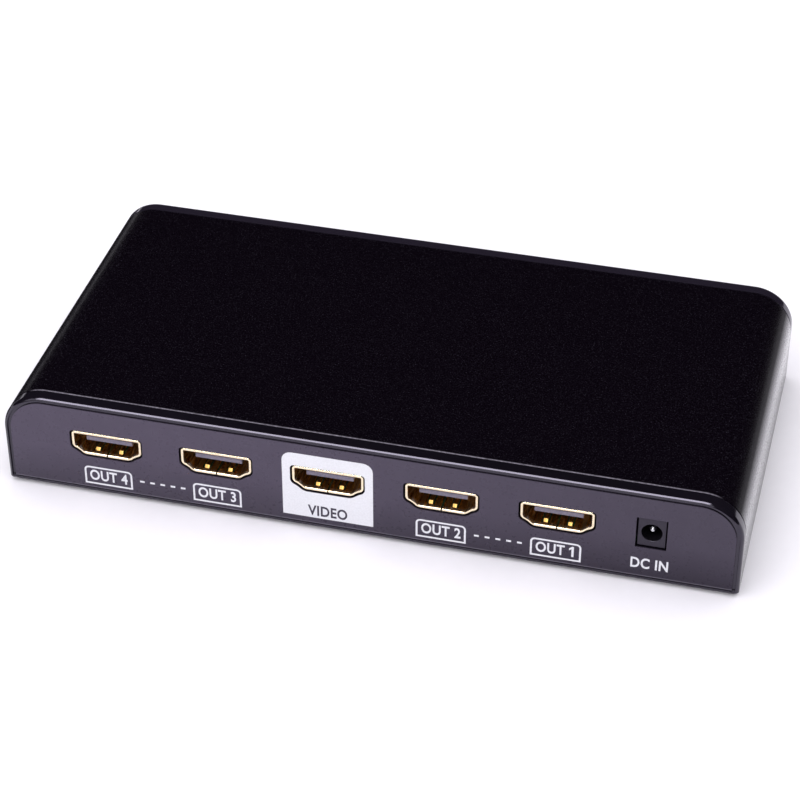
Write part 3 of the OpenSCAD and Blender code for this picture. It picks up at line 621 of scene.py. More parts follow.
def add_cap_face(name, case, low, high):
    """Adds the part of an end cap that shows, with its rounding and the recess for a label."""
    face = low.y + NEAR
    sill = low.z + case.cap_sill
    cap = add_arch(name, low, Vector((high.x, low.y + case.cap_depth, high.z)), case.edge_radius)
    bevel_edges(
        cap, lambda a, b: max(a.y, b.y) < face and max(a.z, b.z) > low.z + NEAR, case.cap_round, steps=8)
    pick(cap, "FACE", lambda middle, normal: middle.y < face)
    bpy.ops.mesh.bisect(plane_co=(0, 0, sill), plane_no=(0, 0, 1))
    done()
    extrude_faces(
        cap, lambda middle, normal: middle.y < face and middle.z > sill, Vector((0, case.cap_recess, 0)))
    fine_edges(cap, case.fine_edge)
    return cap


def model_cap(name, case):
    """Models an end cap without its holes, on the port side."""
    low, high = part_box("port_end_cap")
    cap = add_cap_face(name, case, low, high)
    back = low.y + case.cap_depth
    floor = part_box("base_plate")[1].z + case.fit
    outer = case.wall + case.fit
    inner = outer + case.reach_wall
    panel_back = low.y + case.cap_recess + case.cap_panel
    end = back + case.reach
    fuse(cap, add_arch(
        "reach", Vector((low.x + outer, back - PAST, floor)),
        Vector((high.x - outer, end, high.z - outer)), case.edge_radius - outer))
    cut(cap, add_arch(
        "hollow", Vector((low.x + inner, panel_back, floor)),
        Vector((high.x - inner, back, high.z - inner)), case.edge_radius - inner))
    cut(cap, add_arch(
        "reach_hollow", Vector((low.x + inner, back, low.z)),
        Vector((high.x - inner, end + PAST, high.z - inner)), case.edge_radius - inner))
    for side in (-1, 1):
        add_boss(cap, case, side, panel_back)
    return cap


def model_label(name, case):
    """Models a label without its holes, on the port side."""
    low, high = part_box("port_label")
    groove = Vector((case.label_groove, 0, 0))
    label = add_arch(
        name, low + groove, high - groove - Vector((0, 0, case.label_groove)), case.label_corner)
    fine_edges(label, case.label_edge)
    return label


def model_foot(case, low, high, place):
    """Models one foot with its hollow underside, turned about an upright axis."""
    radius = case.foot_width / 2
    inner = radius - case.foot_rim
    roof = low.z + case.foot_hollow
    profile = [
        (0, high.z), (radius, high.z), (radius, low.z), (inner, low.z), (inner - case.foot_hollow, roof),
        (0, roof),
    ]
    path = draw_path("foot", [place + Vector((out, 0, up)) for out, up in profile])
    foot = spin_path(path, place, (0, 0, 1))
    bevel_edges(
        foot, lambda a, b: max(a.z, b.z) < low.z + NEAR and on_ring((a.xy, b.xy), place.xy, radius),
        case.foot_round, steps=4)
    return foot


def model_pair(scene, model, slot, names, nodes):
    """Models a piece for the port side and its turned copy for the far side, each with its holes."""
    case = scene.splitter_case
    sockets = scene.splitter_sockets
    near = model(names[0], case)
    far = turn_round(copy_piece(near, names[1]))
    cut(near, port_tool(sockets))
    cut(far, light_tool(case, sockets))
    dress(near, slot, nodes[0])
    dress(far, slot, nodes[1])


class SPLITTER_OT_cover(bpy.types.Operator):
    """Model the wrapped cover with its rounded cut edges, one of which is painted pale, partly as rubbed
    coating and partly as a painted highlight
    """
    bl_idname = "splitter.cover"
    bl_label = "Cover"

    def execute(self, context):
        cover = model_cover(context.scene.splitter_case)
        dress(cover, "cover_coat", "top_cover")
        return {"FINISHED"}


class SPLITTER_OT_caps(bpy.types.Operator):
    """Model both end caps with the room for the sockets, the jack and the lights"""
    bl_idname = "splitter.caps"
    bl_label = "End caps"

    def execute(self, context):
        names = ("port_bezel", "light_bezel")
        model_pair(context.scene, model_cap, "cap_gloss", names, ("port_end_cap", "indicator_end_cap"))
        return {"FINISHED"}


class SPLITTER_OT_labels(bpy.types.Operator):
    """Model both label films with their holes"""
    bl_idname = "splitter.labels"
    bl_label = "Labels"

    def execute(self, context):
        names = ("port_film", "light_film")
        model_pair(context.scene, model_label, "label_film", names, ("port_label", "indicator_label"))
        return {"FINISHED"}


class SPLITTER_OT_feet(bpy.types.Operator):
    """Model one foot with its hollow underside and copy it to the four corners"""
    bl_idname = "splitter.feet"
    bl_label = "Feet"

    def execute(self, context):
        case = context.scene.splitter_case
        low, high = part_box("rubber_feet")
        x = high.x - case.foot_width / 2
        y = high.y - case.foot_width / 2
        foot = model_foot(case, low, high, Vector((x, y, 0)))
        feet = [foot]
        for move in ((-2 * x, 0, 0), (0, -2 * y, 0), (-2 * x, -2 * y, 0)):
            feet.append(copy_piece(foot, "foot", Vector(move)))
        dress(join("feet", feet), "foot_rubber", "rubber_feet")
        return {"FINISHED"}


# Sockets, jack and lights

def add_finger(sockets, x, front, wall, side):
    """Adds one spring finger that bows into the opening from the shell's floor or roof."""
    run = sockets.finger_length
    rise = sockets.finger_rise
    sheet = sockets.sheet
    root = run + sockets.finger_cut + sheet
    tip = sockets.finger_tip
    crown = [(sockets.finger_bend, 0), (sockets.finger_crest, rise), (0, -tip)]
    profile = [
        (root, -sheet), (root, 0), *crown, (sheet / 2, -tip - sheet / 2),
        (sockets.finger_crest, rise - sheet), (sockets.finger_bend, -sheet),
    ]
    left = x - sockets.finger_width / 2
    finger = draw_face("finger", [Vector((left, front + back, wall + side * up)) for back, up in profile])
    raise_face(finger, Vector((sockets.finger_width, 0, 0)))
    places = [Vector((front + back, wall + side * up)) for back, up in crown]
    bevel_edges(
        finger, lambda a, b: abs(a.x - b.x) < NEAR and lies_on(a, places) and lies_on(b, places),
        sockets.finger_edge, steps=2)
    return finger


def lies_on(corner, places):
    """True if a corner lies at one of the places, seen from the side."""
    return any((corner.yz - place).length < NEAR for place in places)


def add_window(sockets, x, front, wall):
    """Adds a tool that cuts a wall all round a spring finger."""
    half = sockets.finger_width / 2 + sockets.finger_cut
    low = Vector((x - half, front - sockets.finger_cut, wall - sockets.rim_width))
    high = Vector((x + half, front + sockets.finger_length + sockets.finger_cut, wall + sockets.rim_width))
    return add_box("window", low, high)


def add_leg(sockets, x, y, top, low):
    """Adds one shell leg with a tapered tip."""
    half = Vector((sockets.sheet / 2, sockets.leg_width / 2, 0))
    leg = add_box("leg", Vector((x, y, low)) - half, Vector((x, y, top)) + half)
    bevel_edges(
        leg, lambda a, b: max(a.z, b.z) < low + NEAR and abs(a.y - b.y) < NEAR, sockets.leg_tip, steps=1)
    return leg


def outward(middle, normal, x, z):
    """How far a face near a socket's walls faces away from the socket's axis."""
    return normal.x * (middle.x - x) + normal.z * (middle.z - z)


def add_tube(name, sockets, x, low, high):
    """Adds the sheet tube of a socket's shell, with a rim that is rounded at the front."""
    axis = socket_axis(sockets)
    tube = draw_face(name, upright(socket_corners(sockets, sockets.sheet), x, low.y, axis))
    round_corners(tube, everything, sockets.corner + sockets.sheet / 2)
    hollow_face(tube, sockets.sheet)
    raise_face(tube, Vector((0, sockets.rim_depth, 0)))
    rim_back = low.y + sockets.rim_depth
    extrude_faces(
        tube, lambda middle, normal: middle.y > rim_back - NEAR, Vector((0, high.y - rim_back, 0)))
    pick(tube, "FACE", lambda middle, normal: low.y + NEAR < middle.y < rim_back - NEAR
         and outward(middle, normal, x, axis) > 0)
    bpy.ops.mesh.extrude_region_shrink_fatten(
        TRANSFORM_OT_shrink_fatten={"value": sockets.rim_width - sockets.sheet, "use_even_offset": True})
    done()
    pick(tube, "FACE", lambda middle, normal: middle.y < low.y + NEAR)
    bpy.ops.mesh.region_to_loop()
    bpy.ops.mesh.bevel(offset=sockets.rim_round, segments=4, affect="EDGES")
    done()
    return tube


def model_shell(name, sockets, node):
    """Models a socket's plated shell: a tube with a rim, a joint, spring fingers and legs."""
    low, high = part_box(node)
    x = middle_x(node)
    axis = socket_axis(sockets)
    shell = add_tube(name, sockets, x, low, high)
    floor = axis - sockets.height / 2
    gap = Vector((sockets.joint / 2, PAST, PAST))
    cut(shell, add_box("joint", Vector((x, low.y, floor)) - gap, Vector((x, high.y, floor)) + gap))
    tip = low.y + sockets.finger_setback
    for side in (-1, 1):
        place = x + side * sockets.finger_offset
        for face in (-1, 1):
            level = axis - face * sockets.height / 2
            cut(shell, add_window(sockets, place, tip, level))
            fuse(shell, add_finger(sockets, place, tip, level, face))
        wall = x + side * (sockets.width + sockets.sheet) / 2
        for back in (sockets.leg_front, sockets.leg_back):
            fuse(shell, add_leg(sockets, wall, low.y + back, axis - sockets.leg_top, low.z))
    return shell


def model_jack(sockets):
    """Models the power jack's housing with its bore, spring slot and seat."""
    low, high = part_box("jack_housing")
    x = (low.x + high.x) / 2
    axis = (low.z + high.z) / 2
    jack = add_box("jack_body", low, high)
    step = Vector((high.x + PAST, high.y + PAST, axis - sockets.jack_step))
    cut(jack, add_box("step", Vector((low.x - PAST, low.y + sockets.jack_nose, low.z - PAST)), step))
    fine_edges(jack, sockets.jack_edge, steps=3)
    mouth = Vector((x, low.y - PAST, axis))
    bore_run = Vector((0, PAST + sockets.jack_bore_depth, 0))
    cut(jack, add_rod("bore", mouth, bore_run, sockets.jack_bore / 2, steps=48))
    through = Vector((0, high.y - low.y + 2 * PAST, 0))
    cut(jack, add_rod("root", mouth, through, sockets.jack_root / 2, steps=24))
    half = sockets.slot_width / 2
    slot_top = axis + sockets.slot_top
    cut(jack, add_box(
        "slot", Vector((x - half, low.y + sockets.slot_front, axis)),
        Vector((x + half, low.y + sockets.jack_bore_depth, slot_top))))
    cut(jack, add_box(
        "seat", Vector((x - half, low.y + sockets.pocket_front, axis + sockets.pocket_floor)),
        Vector((x + half, high.y + PAST, slot_top))))
    ring = sockets.jack_bore / 2
    bevel_edges(
        jack, lambda a, b: max(a.y, b.y) < low.y + NEAR and on_ring((a.xz, b.xz), mouth.xz, ring),
        sockets.jack_mouth, steps=4)
    return jack


def model_pipe(case, sockets, x, z):
    """Models one light pipe with its collar and domed end."""
    low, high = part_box("light_pipes")
    radius = sockets.pipe / 2
    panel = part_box("indicator_end_cap")[1].y - case.cap_recess - case.cap_panel
    collar = sockets.collar / 2
    profile = [
        (0, low.y), (radius, low.y), (radius, panel - sockets.collar_depth),
        (collar, panel - sockets.collar_depth), (collar, panel), (radius, panel), (radius, high.y),
        (0, high.y),
    ]
    path = draw_path("light_pipe", [Vector((x + out, along, z)) for out, along in profile])
    pipe = spin_path(path, (x, 0, z), (0, 1, 0))
    bevel_edges(
        pipe, lambda a, b: min(a.y, b.y) > high.y - NEAR and on_ring((a.xz, b.xz), Vector((x, z)), radius),
        sockets.pipe_dome, steps=6)
    return pipe


class SPLITTER_OT_sockets(bpy.types.Operator):
    """Model one socket shell and copy it to all five sockets"""
    bl_idname = "splitter.sockets"
    bl_label = "Sockets"

    def execute(self, context):
        first = PORTS[0]
        shell = model_shell(f"{first}_sleeve", context.scene.splitter_sockets, f"{first}_shell")
        shells = {first: shell}
        for port in PORTS[1:]:
            move = Vector((middle_x(f"{port}_shell") - middle_x(f"{first}_shell"), 0, 0))
            shells[port] = copy_piece(shell, f"{port}_sleeve", move)
        for port, piece in shells.items():
            dress(piece, "gold_plate", f"{port}_shell")
        return {"FINISHED"}


class SPLITTER_OT_jack(bpy.types.Operator):
    """Model the power jack's housing"""
    bl_idname = "splitter.jack"
    bl_label = "Power jack"

    def execute(self, context):
        jack = model_jack(context.scene.splitter_sockets)
        dress(jack, "jack_plastic", "jack_housing")
        return {"FINISHED"}


class SPLITTER_OT_lights(bpy.types.Operator):
    """Model one light pipe and copy it along the far side"""
    bl_idname = "splitter.lights"
    bl_label = "Light pipes"

    def execute(self, context):
        scene = context.scene
        places, height = light_places()
        pipe = model_pipe(scene.splitter_case, scene.splitter_sockets, places[0], height)
        pipes = [pipe]
        for x in places[1:]:
            pipes.append(copy_piece(pipe, "light_pipe", Vector((x - places[0], 0, 0))))
        dress(join("lights", pipes), "clear_acrylic", "light_pipes")
        return {"FINISHED"}


# Print

def add_field(name, x, width, low, high, corner, face):
    """Adds a flat printed field with rounded upper corners."""
    half = width / 2
    corners = [(x - half, low), (x + half, low), (x + half, high), (x - half, high)]
    field = draw_face(name, [Vector((across, face, up)) for across, up in corners])
    if corner:
        round_corners(field, lambda place: place.z > high - NEAR, corner)
    return field


def add_line_frame(ink, x, face):
    """Adds the line frame under an output."""
    line_frame = add_field(
        "line_frame", x, ink.frame_width, ink.frame_low, ink.frame_high, ink.frame_corner, face)
    hollow_face(line_frame, ink.frame_line)
    return raise_face(line_frame, Vector((0, ink.ink, 0)))


def add_text(ink, words, x, face, z):
    """Adds a printed word on the port side, its back on the given face."""
    bpy.ops.object.select_all(action="DESELECT")
    bpy.ops.object.text_add()
    text = bpy.context.object
    text.data.body = words
    text.data.size = ink.text_size
    text.data.offset = ink.text_weight
    text.data.extrude = ink.ink / 2
    text.data.resolution_u = 4
    text.data.space_character = ink.text_spacing
    text.data.align_x = "CENTER"
    text.data.align_y = "CENTER"
    bpy.ops.object.convert(target="MESH")
    text.rotation_euler = (math.pi / 2, 0, 0)
    text.location = (x, face + ink.ink / 2, z)
    text.scale = (ink.text_narrow, 1, 1)
    bpy.ops.object.transform_apply(location=True, rotation=True, scale=True)
    return text


def add_mark(ink, mark, x, face, z):
    """Adds a printed mark. The figure one is drawn from listed corners with a flag, which the font's lacks.
    """
    if mark != "1":
        return add_text(ink, mark, x, face, z)
    tall = ink.text_size * FIGURE_HEIGHT + 2 * ink.text_weight
    middle = z + ink.text_size * FIGURE_RISE
    points = [Vector((x + across * tall, face, middle + up * tall)) for across, up in FIGURE_ONE]
    return raise_face(draw_face("figure_one", points), Vector((0, ink.ink, 0)))


def add_dashes(ink, x, face):
    """Adds the row of dashes between two outputs."""
    low = ink.dash_place - ink.dash_height / 2
    first = x - ink.dash_step * (DASHES - 1) / 2
    dashes = []
    for step in range(DASHES):
        dash = add_field(
            "dash", first + step * ink.dash_step, ink.dash_width, low, low + ink.dash_height, 0, face)
        dashes.append(raise_face(dash, Vector((0, ink.ink, 0))))
    return dashes


def print_outputs(ink, face):
    """Prints the frames, words, numbers and dashes of the outputs, and the jack's words."""
    places = {port: middle_x(f"{port}_shell") for port in OUTPUTS}
    marks = []
    for port, number in OUTPUTS.items():
        x = places[port]
        marks.append(add_line_frame(ink, x, face))
        marks.append(add_text(ink, "OUT", x - ink.word_shift, face, ink.text_place))
        marks.append(add_mark(ink, number, x + ink.digit_shift, face, ink.text_place))
    for left, right in (("output_4", "output_3"), ("output_2", "output_1")):
        marks.extend(add_dashes(ink, (places[left] + places[right]) / 2, face))
    marks.append(add_text(ink, "DC IN", middle_x("jack_housing"), face, ink.text_place))
    return join("output_marks", marks)


def print_field(ink, sockets, face):
    """Prints the white field round the input."""
    field = add_field(
        "input_field", middle_x("input_shell"), ink.plate_width, ink.plate_low, ink.plate_high,
        ink.plate_corner, face)
    raise_face(field, Vector((0, ink.ink, 0)))
    cut(field, port_tool(sockets))
    return field


class SPLITTER_OT_print(bpy.types.Operator):
    """Print the fields, frames, dashes and plain words on both labels"""
    bl_idname = "splitter.print"
    bl_label = "Print"

    def execute(self, context):
        ink = context.scene.splitter_print
        white = white_ink(context.scene.splitter_colours)
        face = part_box("port_label")[0].y - ink.ink
        dress(print_outputs(ink, face), "label_film", look=white)
        dress(print_field(ink, context.scene.splitter_sockets, face), "label_film", look=white)
        word = add_text(ink, "VIDEO", middle_x("input_shell"), face - ink.ink, ink.text_place)
        word.name = "input_mark"
        dress(word, "label_film")
        places = light_places()[0]
        words = [add_mark(ink, mark, x, face, ink.light_text) for mark, x in zip(LIGHTS, places)]
        dress(turn_round(join("light_marks", words)), "label_film", look=white)
        return {"FINISHED"}


# Finishes

class Finish:
    """Builds a material whose patterns follow the piece's own place."""

    def __init__(self, name, **settings):
        self.material = bpy.data.materials.new(name)
        self.material.use_nodes = True
        self.tree = self.material.node_tree
        self.shader = self.tree.nodes["Principled BSDF"]
        self.place = self.tree.nodes.new("ShaderNodeTexCoord").outputs["Object"]
        for setting, value in settings.items():
            self.shader.inputs[setting.replace("_", " ")].default_value = value

    def noise(self, grain, stretch=(1, 1, 1), detail=2):
        """A noise with grains of about the given length, stretched along the axes."""
        mapping = self.tree.nodes.new("ShaderNodeMapping")
        mapping.inputs["Scale"].default_value = [1 / (grain * longer) for longer in stretch]
        texture = self.tree.nodes.new("ShaderNodeTexNoise")
        texture.inputs["Scale"].default_value = 1
        texture.inputs["Detail"].default_value = detail
        self.tree.links.new(self.place, mapping.inputs["Vector"])
        self.tree.links.new(mapping.outputs[0], texture.inputs["Vector"])
        return texture.outputs[0]

    def tint(self, pattern, first, second, start=0.35, stop=0.65):
        """Runs the base colour from one colour to another over part of a pattern's range."""
        ramp = self.tree.nodes.new("ShaderNodeValToRGB")
        for element, place, shade in zip(ramp.color_ramp.elements, (start, stop), (first, second)):
            element.position = place
            element.color = (*shade, 1)
        self.tree.links.new(pattern, ramp.inputs[0])
        self.tree.links.new(ramp.outputs["Color"], self.shader.inputs["Base Color"])

    def calculate(self, operation, *values):
        """The result of a sum on sockets and numbers."""
        sum_of_values = self.tree.nodes.new("ShaderNodeMath")
        sum_of_values.operation = operation
        for entry, value in zip(sum_of_values.inputs, values):
            if isinstance(value, (int, float)):
                entry.default_value = value
            else:
                self.tree.links.new(value, entry)
        return sum_of_values.outputs[0]

    def along(self, axis):
        """The place along one axis."""
        split = self.tree.nodes.new("ShaderNodeSeparateXYZ")
        self.tree.links.new(self.place, split.inputs[0])
        return split.outputs[axis]

    def share(self, value, start, stop, first=0, last=1):
        """A share that runs from its first to its last size while a value runs from start to stop."""
        span = self.tree.nodes.new("ShaderNodeMapRange")
        for entry, number in zip(("From Min", "From Max", "To Min", "To Max"), (start, stop, first, last)):
            span.inputs[entry].default_value = number
        self.tree.links.new(value, span.inputs["Value"])
        return span.outputs["Result"]

    def drive(self, setting, share):
        """Lets a share set one of the shader's inputs."""
        self.tree.links.new(share, self.shader.inputs[setting])

    def lay_over(self, share, colour_on_top):
        """Lays a colour over the base colour by a share."""
        base = self.shader.inputs["Base Color"]
        mix = self.tree.nodes.new("ShaderNodeMix")
        mix.data_type = "RGBA"
        below, above = [entry for entry in mix.inputs if entry.type == "RGBA"]
        above.default_value = (*colour_on_top, 1)
        self.tree.links.new(base.links[0].from_socket, below)
        self.tree.links.new(share, mix.inputs["Factor"])
        self.tree.links.new(next(result for result in mix.outputs if result.type == "RGBA"), base)

    def rough(self, pattern, low, high):
        """Runs the roughness between two values over a pattern."""
        self.drive("Roughness", self.share(pattern, *NOISE_SPAN, low, high))

    def bump(self, pattern, height):
        """Raises the surface by a pattern."""
        bump = self.tree.nodes.new("ShaderNodeBump")
        bump.inputs["Distance"].default_value = height
        self.tree.links.new(pattern, bump.inputs["Height"])
        self.tree.links.new(bump.outputs["Normal"], self.shader.inputs["Normal"])


def shade(level, share):
    """A colour made lighter or darker by a share."""
    return [min(1, channel * share) for channel in level]


def cover_coat(colours):
    """Satin black coating with fine grain, pale specks, glossier sides and one cut edge at the ports painted
    pale, partly as rubbed coating and partly as a painted highlight.
    """
    case = bpy.context.scene.splitter_case
    low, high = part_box("top_cover")
    coat = Finish(
        "cover_coat", IOR=1.5, Specular_Tint=(*colours.sheen, 1),
        Coat_Weight=0.5, Coat_IOR=1.6, Coat_Roughness=0.2)
    grain = coat.noise(0.35 * MM)
    height = coat.along("Z")
    dull_above = high.z - case.edge_radius * 0.45
    glossy_below = high.z - case.edge_radius * 0.75
    rounding_foot = high.z - case.edge_radius
    rise = coat.share(height, dull_above, glossy_below, 0.06, 1)
    fade = coat.share(height, rounding_foot, low.z, 1, 0.35)
    gloss = coat.calculate("MULTIPLY", rise, fade)
    coat.drive("Coat Weight", gloss)
    coat.drive("Specular IOR Level", coat.calculate("MULTIPLY", gloss, 0.5))
    coat.tint(coat.noise(0.25 * MM, detail=0), colours.cover, colours.speck, 0.68, 0.8)
    # Pale band painted on the upper cut edge at the ports: partly rubbed coating, partly a painted highlight
    # where the edge catches the light.
    cut_end = coat.share(coat.along("Y"), low.y + case.edge_rounding, low.y + case.edge_rounding / 2)
    upper = coat.share(height, high.z - case.edge_radius / 10, high.z - case.edge_radius / 30)
    wear_and_highlight = coat.calculate("MULTIPLY", coat.calculate("MULTIPLY", cut_end, upper), coat.noise(0.6 * MM))
    coat.lay_over(wear_and_highlight, colours.worn_and_highlit)
    coat.rough(grain, 0.24, 0.3)
    coat.bump(grain, 0.003 * MM)
    return coat.material


def base_coat(colours):
    """Matt black paint on the base plate."""
    coat = Finish("base_coat")
    grain = coat.noise(0.3 * MM)
    coat.tint(grain, shade(colours.cover, 0.9), shade(colours.cover, 1.6))
    coat.rough(grain, 0.45, 0.6)
    coat.bump(grain, 0.02 * MM)
    return coat.material


def cap_gloss(colours):
    """Glossy black plastic with faint flow marks; the far cap is painted paler, as painted light on that
    side.
    """
    gloss = Finish("cap_gloss", IOR=1.6, Specular_Tint=(*colours.sheen, 1))
    gloss.tint(gloss.noise(9 * MM, (3, 1, 1)), shade(colours.cap, 0.85), shade(colours.cap, 1.15))
    # Painted light: the far cap is laid over with a paler tone.
    far = gloss.share(gloss.along("Y"), 0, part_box("indicator_end_cap")[0].y)
    gloss.lay_over(far, shade(colours.cap, 2.5))
    gloss.rough(gloss.noise(1.2 * MM, (4, 1, 1)), 0.08, 0.14)
    gloss.bump(gloss.noise(0.5 * MM), 0.004 * MM)
    return gloss.material


def label_film(colours):
    """Dark grey film with faint clouds; painted shade darkens it to the right and to its foot, and a pale
    line at its foot is partly its cut edge and partly a painted highlight.
    """
    film = Finish("label_film", Specular_Tint=(*colours.sheen, 1))
    film.tint(film.noise(5 * MM), colours.label, colours.label_dark)
    low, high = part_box("port_label")
    height = film.along("Z")
    # Painted shade: the film is darkened towards the right and towards its foot, and its specular level is
    # lowered there.
    right = film.share(film.along("X"), low.x / 2, high.x)
    foot = film.share(height, high.z / 2, low.z)
    # A pale line painted at the film's foot: partly its cut edge, partly a painted highlight.
    cut_edge_and_highlight = film.share(height, low.z + 0.3 * MM, low.z + 0.2 * MM, 0, 0.4)
    for fade in (right, foot):
        film.lay_over(film.calculate("MULTIPLY", fade, 0.5), colours.label_painted_shade)
    film.lay_over(cut_edge_and_highlight, colours.worn_and_highlit)
    dull = film.calculate("MULTIPLY", right, foot)
    film.drive("Specular IOR Level", film.share(dull, 0, 1, 0.5, 0.25))
    film.rough(film.noise(0.8 * MM), 0.27, 0.29)
    film.bump(film.noise(1.5 * MM, detail=0), 0.002 * MM)
    return film.material


def white_ink(colours):
    """White screen print, a little uneven."""
    ink = Finish("white_ink")
    spread = ink.noise(0.4 * MM)
    ink.tint(spread, colours.ink, shade(colours.ink, 0.93))
    ink.rough(spread, 0.4, 0.55)
    return ink.material


def gold_plate(colours):
    """Gold plating on drawn sheet, painted deeper in tone inside the sockets as painted shade and
    inter-reflection.
    """
    gold = Finish("gold_plate", Metallic=1)
    grain = gold.noise(0.4 * MM, (1, 6, 1))
    gold.tint(grain, colours.gold, shade(colours.gold, 0.86))
    # Painted shade: behind the rim the plating is laid over with a deeper gold for the shade and
    # inter-reflection inside the socket.
    rim_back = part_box("input_shell")[0].y + bpy.context.scene.splitter_sockets.rim_depth
    gold.lay_over(gold.share(gold.along("Y"), rim_back, rim_back + 0.5 * MM), colours.gold_painted_shade)
    gold.rough(grain, 0.08, 0.18)
    gold.bump(grain, 0.004 * MM)
    return gold.material


def jack_plastic(colours):
    """Black plastic, painted darker behind its face as painted shade in the bore; the face keeps a paler tone
    like the label.
    """
    moulded = Finish("jack_plastic", Specular_Tint=(*colours.sheen, 1))
    grain = moulded.noise(0.4 * MM)
    # Painted shade: the body and bore are darker than the face, standing in for the shade inside the bore.
    moulded.tint(grain, shade(colours.cap, 0.4), shade(colours.cap, 0.5))
    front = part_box("jack_housing")[0].y
    edge = bpy.context.scene.splitter_sockets.jack_edge
    face = moulded.share(moulded.along("Y"), front + edge, front + edge / 2)
    moulded.lay_over(face, shade(colours.label, 0.2))
    moulded.rough(grain, 0.35, 0.45)
    moulded.bump(grain, 0.006 * MM)
    return moulded.material


def plastic(name, level):
    """A moulded plastic with a fine grain."""
    moulded = Finish(name)
    grain = moulded.noise(0.4 * MM)
    moulded.tint(grain, shade(level, 0.85), shade(level, 1.15))
    moulded.rough(grain, 0.4, 0.55)
    moulded.bump(grain, 0.01 * MM)
    return moulded.material


def metal(name, level):
    """A metal with a fine grain."""
    surface = Finish(name, Metallic=1)
    grain = surface.noise(0.4 * MM)
    surface.tint(grain, level, shade(level, 0.82))
    surface.rough(grain, 0.2, 0.35)
    surface.bump(grain, 0.004 * MM)
    return surface.material


def finish(slot):
    """The material of one of the record's slots, made when it is first asked for."""
    made = bpy.data.materials.get(f"{slot}_finish")
    if made:
        return made
    colours = bpy.context.scene.splitter_colours
    if slot in OUTER:
        made = OUTER[slot](colours)
    elif slot in METALS:
        made = metal(slot, screen(METALS[slot]))
    else:
        made = plastic(slot, screen(PLASTICS[slot]))
    made.name = f"{slot}_finish"
    return made


OUTER = {
    "cover_coat": cover_coat,
    "base_coat": base_coat,
    "cap_gloss": cap_gloss,
    "label_film": label_film,
    "gold_plate": gold_plate,
    "jack_plastic": jack_plastic,
}
METALS = {
    "black_screw": (40, 40, 44),
    "spacer_brass": (214, 176, 96),
    "bright_steel": (205, 205, 210),
    "contact_gold": (250, 205, 125),
    "tinned_lead": (200, 202, 206),
    "sink_aluminium": (180, 184, 190),
    "can_aluminium": (208, 210, 214),
}
PLASTICS = {
    "foot_rubber": (30, 29, 31),
    "board_green": (12, 58, 34),
    "socket_plastic": (112, 108, 130),
    "chip_plastic": (30, 30, 33),
    "pad_silicone": (190, 196, 214),
    "ferrite": (52, 50, 52),
    "resistor_body": (44, 42, 46),
    "lamp_resin": (236, 232, 196),
    "clear_acrylic": (214, 220, 224),
}


class SPLITTER_OT_inside(bpy.types.Operator):
    """Give every CAD node the finish of its material slot"""
    bl_idname = "splitter.inside"
    bl_label = "Inside finishes"

    def execute(self, context):
        for subpart in frame["record"]["subparts"]:
            made = finish(subpart["material_slot"])
            for slot in frame["nodes"][subpart["node"]].material_slots:
                slot.material = made
        return {"FINISHED"}


# Studio

def add_panel(name, power):
    """Adds a soft light panel that faces the box, and returns its holder."""
    place, size = PANELS[name]
    panel = bpy.data.lights.new(name, "AREA")
    panel.shape = "RECTANGLE"
    panel.size, panel.size_y = size
    panel.energy = power
    holder = bpy.data.objects.new(name, panel)
    bpy.context.scene.collection.objects.link(holder)
    holder.location = place
    holder.rotation_euler = (-Vector(place)).to_track_quat("-Z", "Y").to_euler()
    return holder


def add_floor(colours):
    """Adds the pale studio floor."""
    bpy.ops.object.select_all(action="DESELECT")
    bpy.ops.mesh.primitive_plane_add(size=FLOOR)
    floor = bpy.context.object
    floor.name = "studio_floor"
    paper = Finish("floor_paper")
    fibre = paper.noise(3 * MM)
    paper.tint(fibre, colours.floor, shade(colours.floor, 0.99))
    paper.rough(fibre, 0.85, 0.95)
    floor.data.materials.append(paper.material)


def add_mat(stage, colours):
    """Adds a dark mat left of the box that only reflections see, so the cover's left edge stays dark."""
    low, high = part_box("top_cover")
    mat = add_box(
        "dark_mat", Vector((low.x - stage.mat, low.y, 0)), Vector((low.x, high.y + stage.mat, NEAR)))
    felt = Finish("mat_felt", Roughness=1)
    felt.tint(felt.noise(3 * MM), colours.cap, shade(colours.cap, 0.9))
    mat.data.materials.append(felt.material)
    mat.visible_camera = False
    mat.visible_diffuse = False
    mat.visible_transmission = False
    mat.visible_shadow = False


def add_camera(stage):
    """Adds the camera at the photograph's angle."""
    level = math.cos(stage.elevation)
    back = Vector((
        math.sin(stage.azimuth) * level, -math.cos(stage.azimuth) * level, math.sin(stage.elevation)))
    right = Vector((0, 0, 1)).cross(back).normalized()
    up = back.cross(right)
    lens = bpy.data.cameras.new("studio_camera")
    lens.lens = stage.lens
    lens.sensor_width = SENSOR
    lens.clip_start, lens.clip_end = SIGHT
    camera = bpy.data.objects.new("studio_camera", lens)
    camera.location = stage.side * right + stage.rise * up + stage.distance * back
    camera.rotation_euler = back.to_track_quat("Z", "Y").to_euler()
    bpy.context.scene.collection.objects.link(camera)
    bpy.context.scene.camera = camera


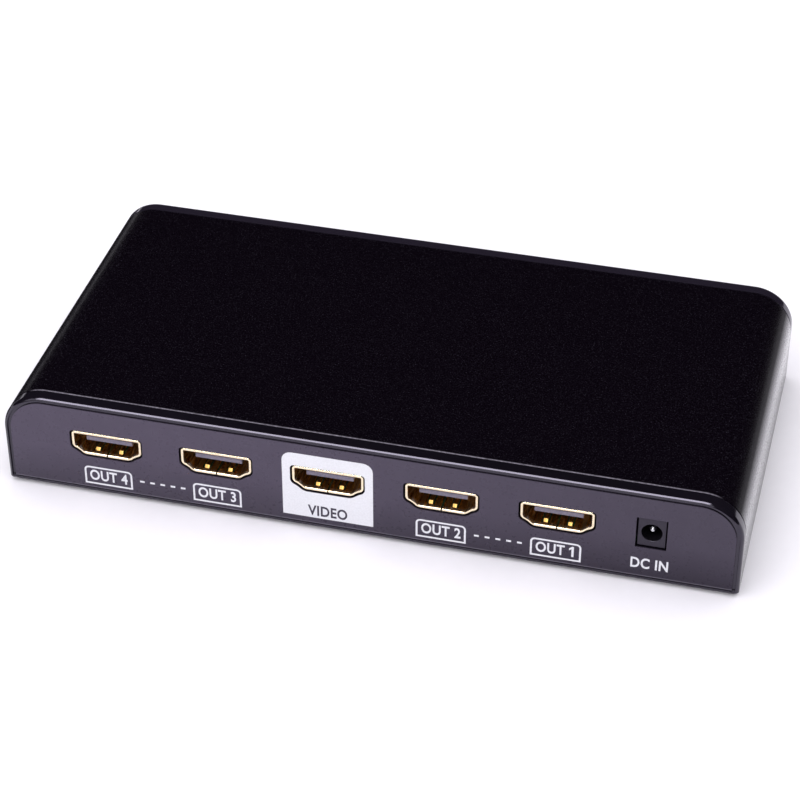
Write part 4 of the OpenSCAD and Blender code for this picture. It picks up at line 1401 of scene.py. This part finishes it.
class SPLITTER_OT_stage(bpy.types.Operator):
    """Set up the floor, the lights and the camera"""
    bl_idname = "splitter.stage"
    bl_label = "Studio"

    def execute(self, context):
        stage = context.scene.splitter_stage
        add_floor(context.scene.splitter_colours)
        add_mat(stage, context.scene.splitter_colours)
        ceiling = add_panel("ceiling", stage.ceiling)
        ceiling.visible_glossy = False
        add_panel("front_panel", stage.front)
        shine = add_panel("shine_panel", stage.shine)
        shine.visible_diffuse = False
        world = bpy.data.worlds.new("studio")
        world.use_nodes = True
        world.node_tree.nodes["Background"].inputs["Color"].default_value = DIM_ROOM
        context.scene.world = world
        context.scene.view_settings.view_transform = "Standard"
        add_camera(stage)
        return {"FINISHED"}


# Add-on

GROUPS = {
    "splitter_case": SplitterCase,
    "splitter_sockets": SplitterSockets,
    "splitter_print": SplitterPrint,
    "splitter_colours": SplitterColours,
    "splitter_stage": SplitterStage,
}
OPERATORS = (
    SPLITTER_OT_cover, SPLITTER_OT_caps, SPLITTER_OT_labels, SPLITTER_OT_print, SPLITTER_OT_sockets,
    SPLITTER_OT_jack, SPLITTER_OT_lights, SPLITTER_OT_feet, SPLITTER_OT_inside, SPLITTER_OT_stage,
)


class SPLITTER_PT_panel(bpy.types.Panel):
    """Pieces and settings of the splitter box"""
    bl_idname = "SPLITTER_PT_panel"
    bl_label = "Video splitter box"
    bl_space_type = "VIEW_3D"
    bl_region_type = "UI"
    bl_category = "Splitter"

    def draw(self, context):
        for operator in OPERATORS:
            self.layout.operator(operator.bl_idname)
        for group, kind in GROUPS.items():
            box = self.layout.box()
            for name in kind.__annotations__:
                box.prop(getattr(context.scene, group), name)


CLASSES = (*GROUPS.values(), *OPERATORS, SPLITTER_PT_panel)


def register():
    """Registers the classes and puts the settings on the scene."""
    for kind in CLASSES:
        bpy.utils.register_class(kind)
    for group, kind in GROUPS.items():
        setattr(bpy.types.Scene, group, bpy.props.PointerProperty(type=kind))


def unregister():
    """Takes the settings and the classes away again."""
    for group in GROUPS:
        delattr(bpy.types.Scene, group)
    for kind in reversed(CLASSES):
        bpy.utils.unregister_class(kind)


def main():
    """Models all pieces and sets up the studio."""
    register()
    bpy.ops.splitter.cover()
    bpy.ops.splitter.caps()
    bpy.ops.splitter.labels()
    bpy.ops.splitter.print()
    bpy.ops.splitter.sockets()
    bpy.ops.splitter.jack()
    bpy.ops.splitter.lights()
    bpy.ops.splitter.feet()
    bpy.ops.splitter.inside()
    bpy.ops.splitter.stage()


if __name__ == "__main__":
    main()
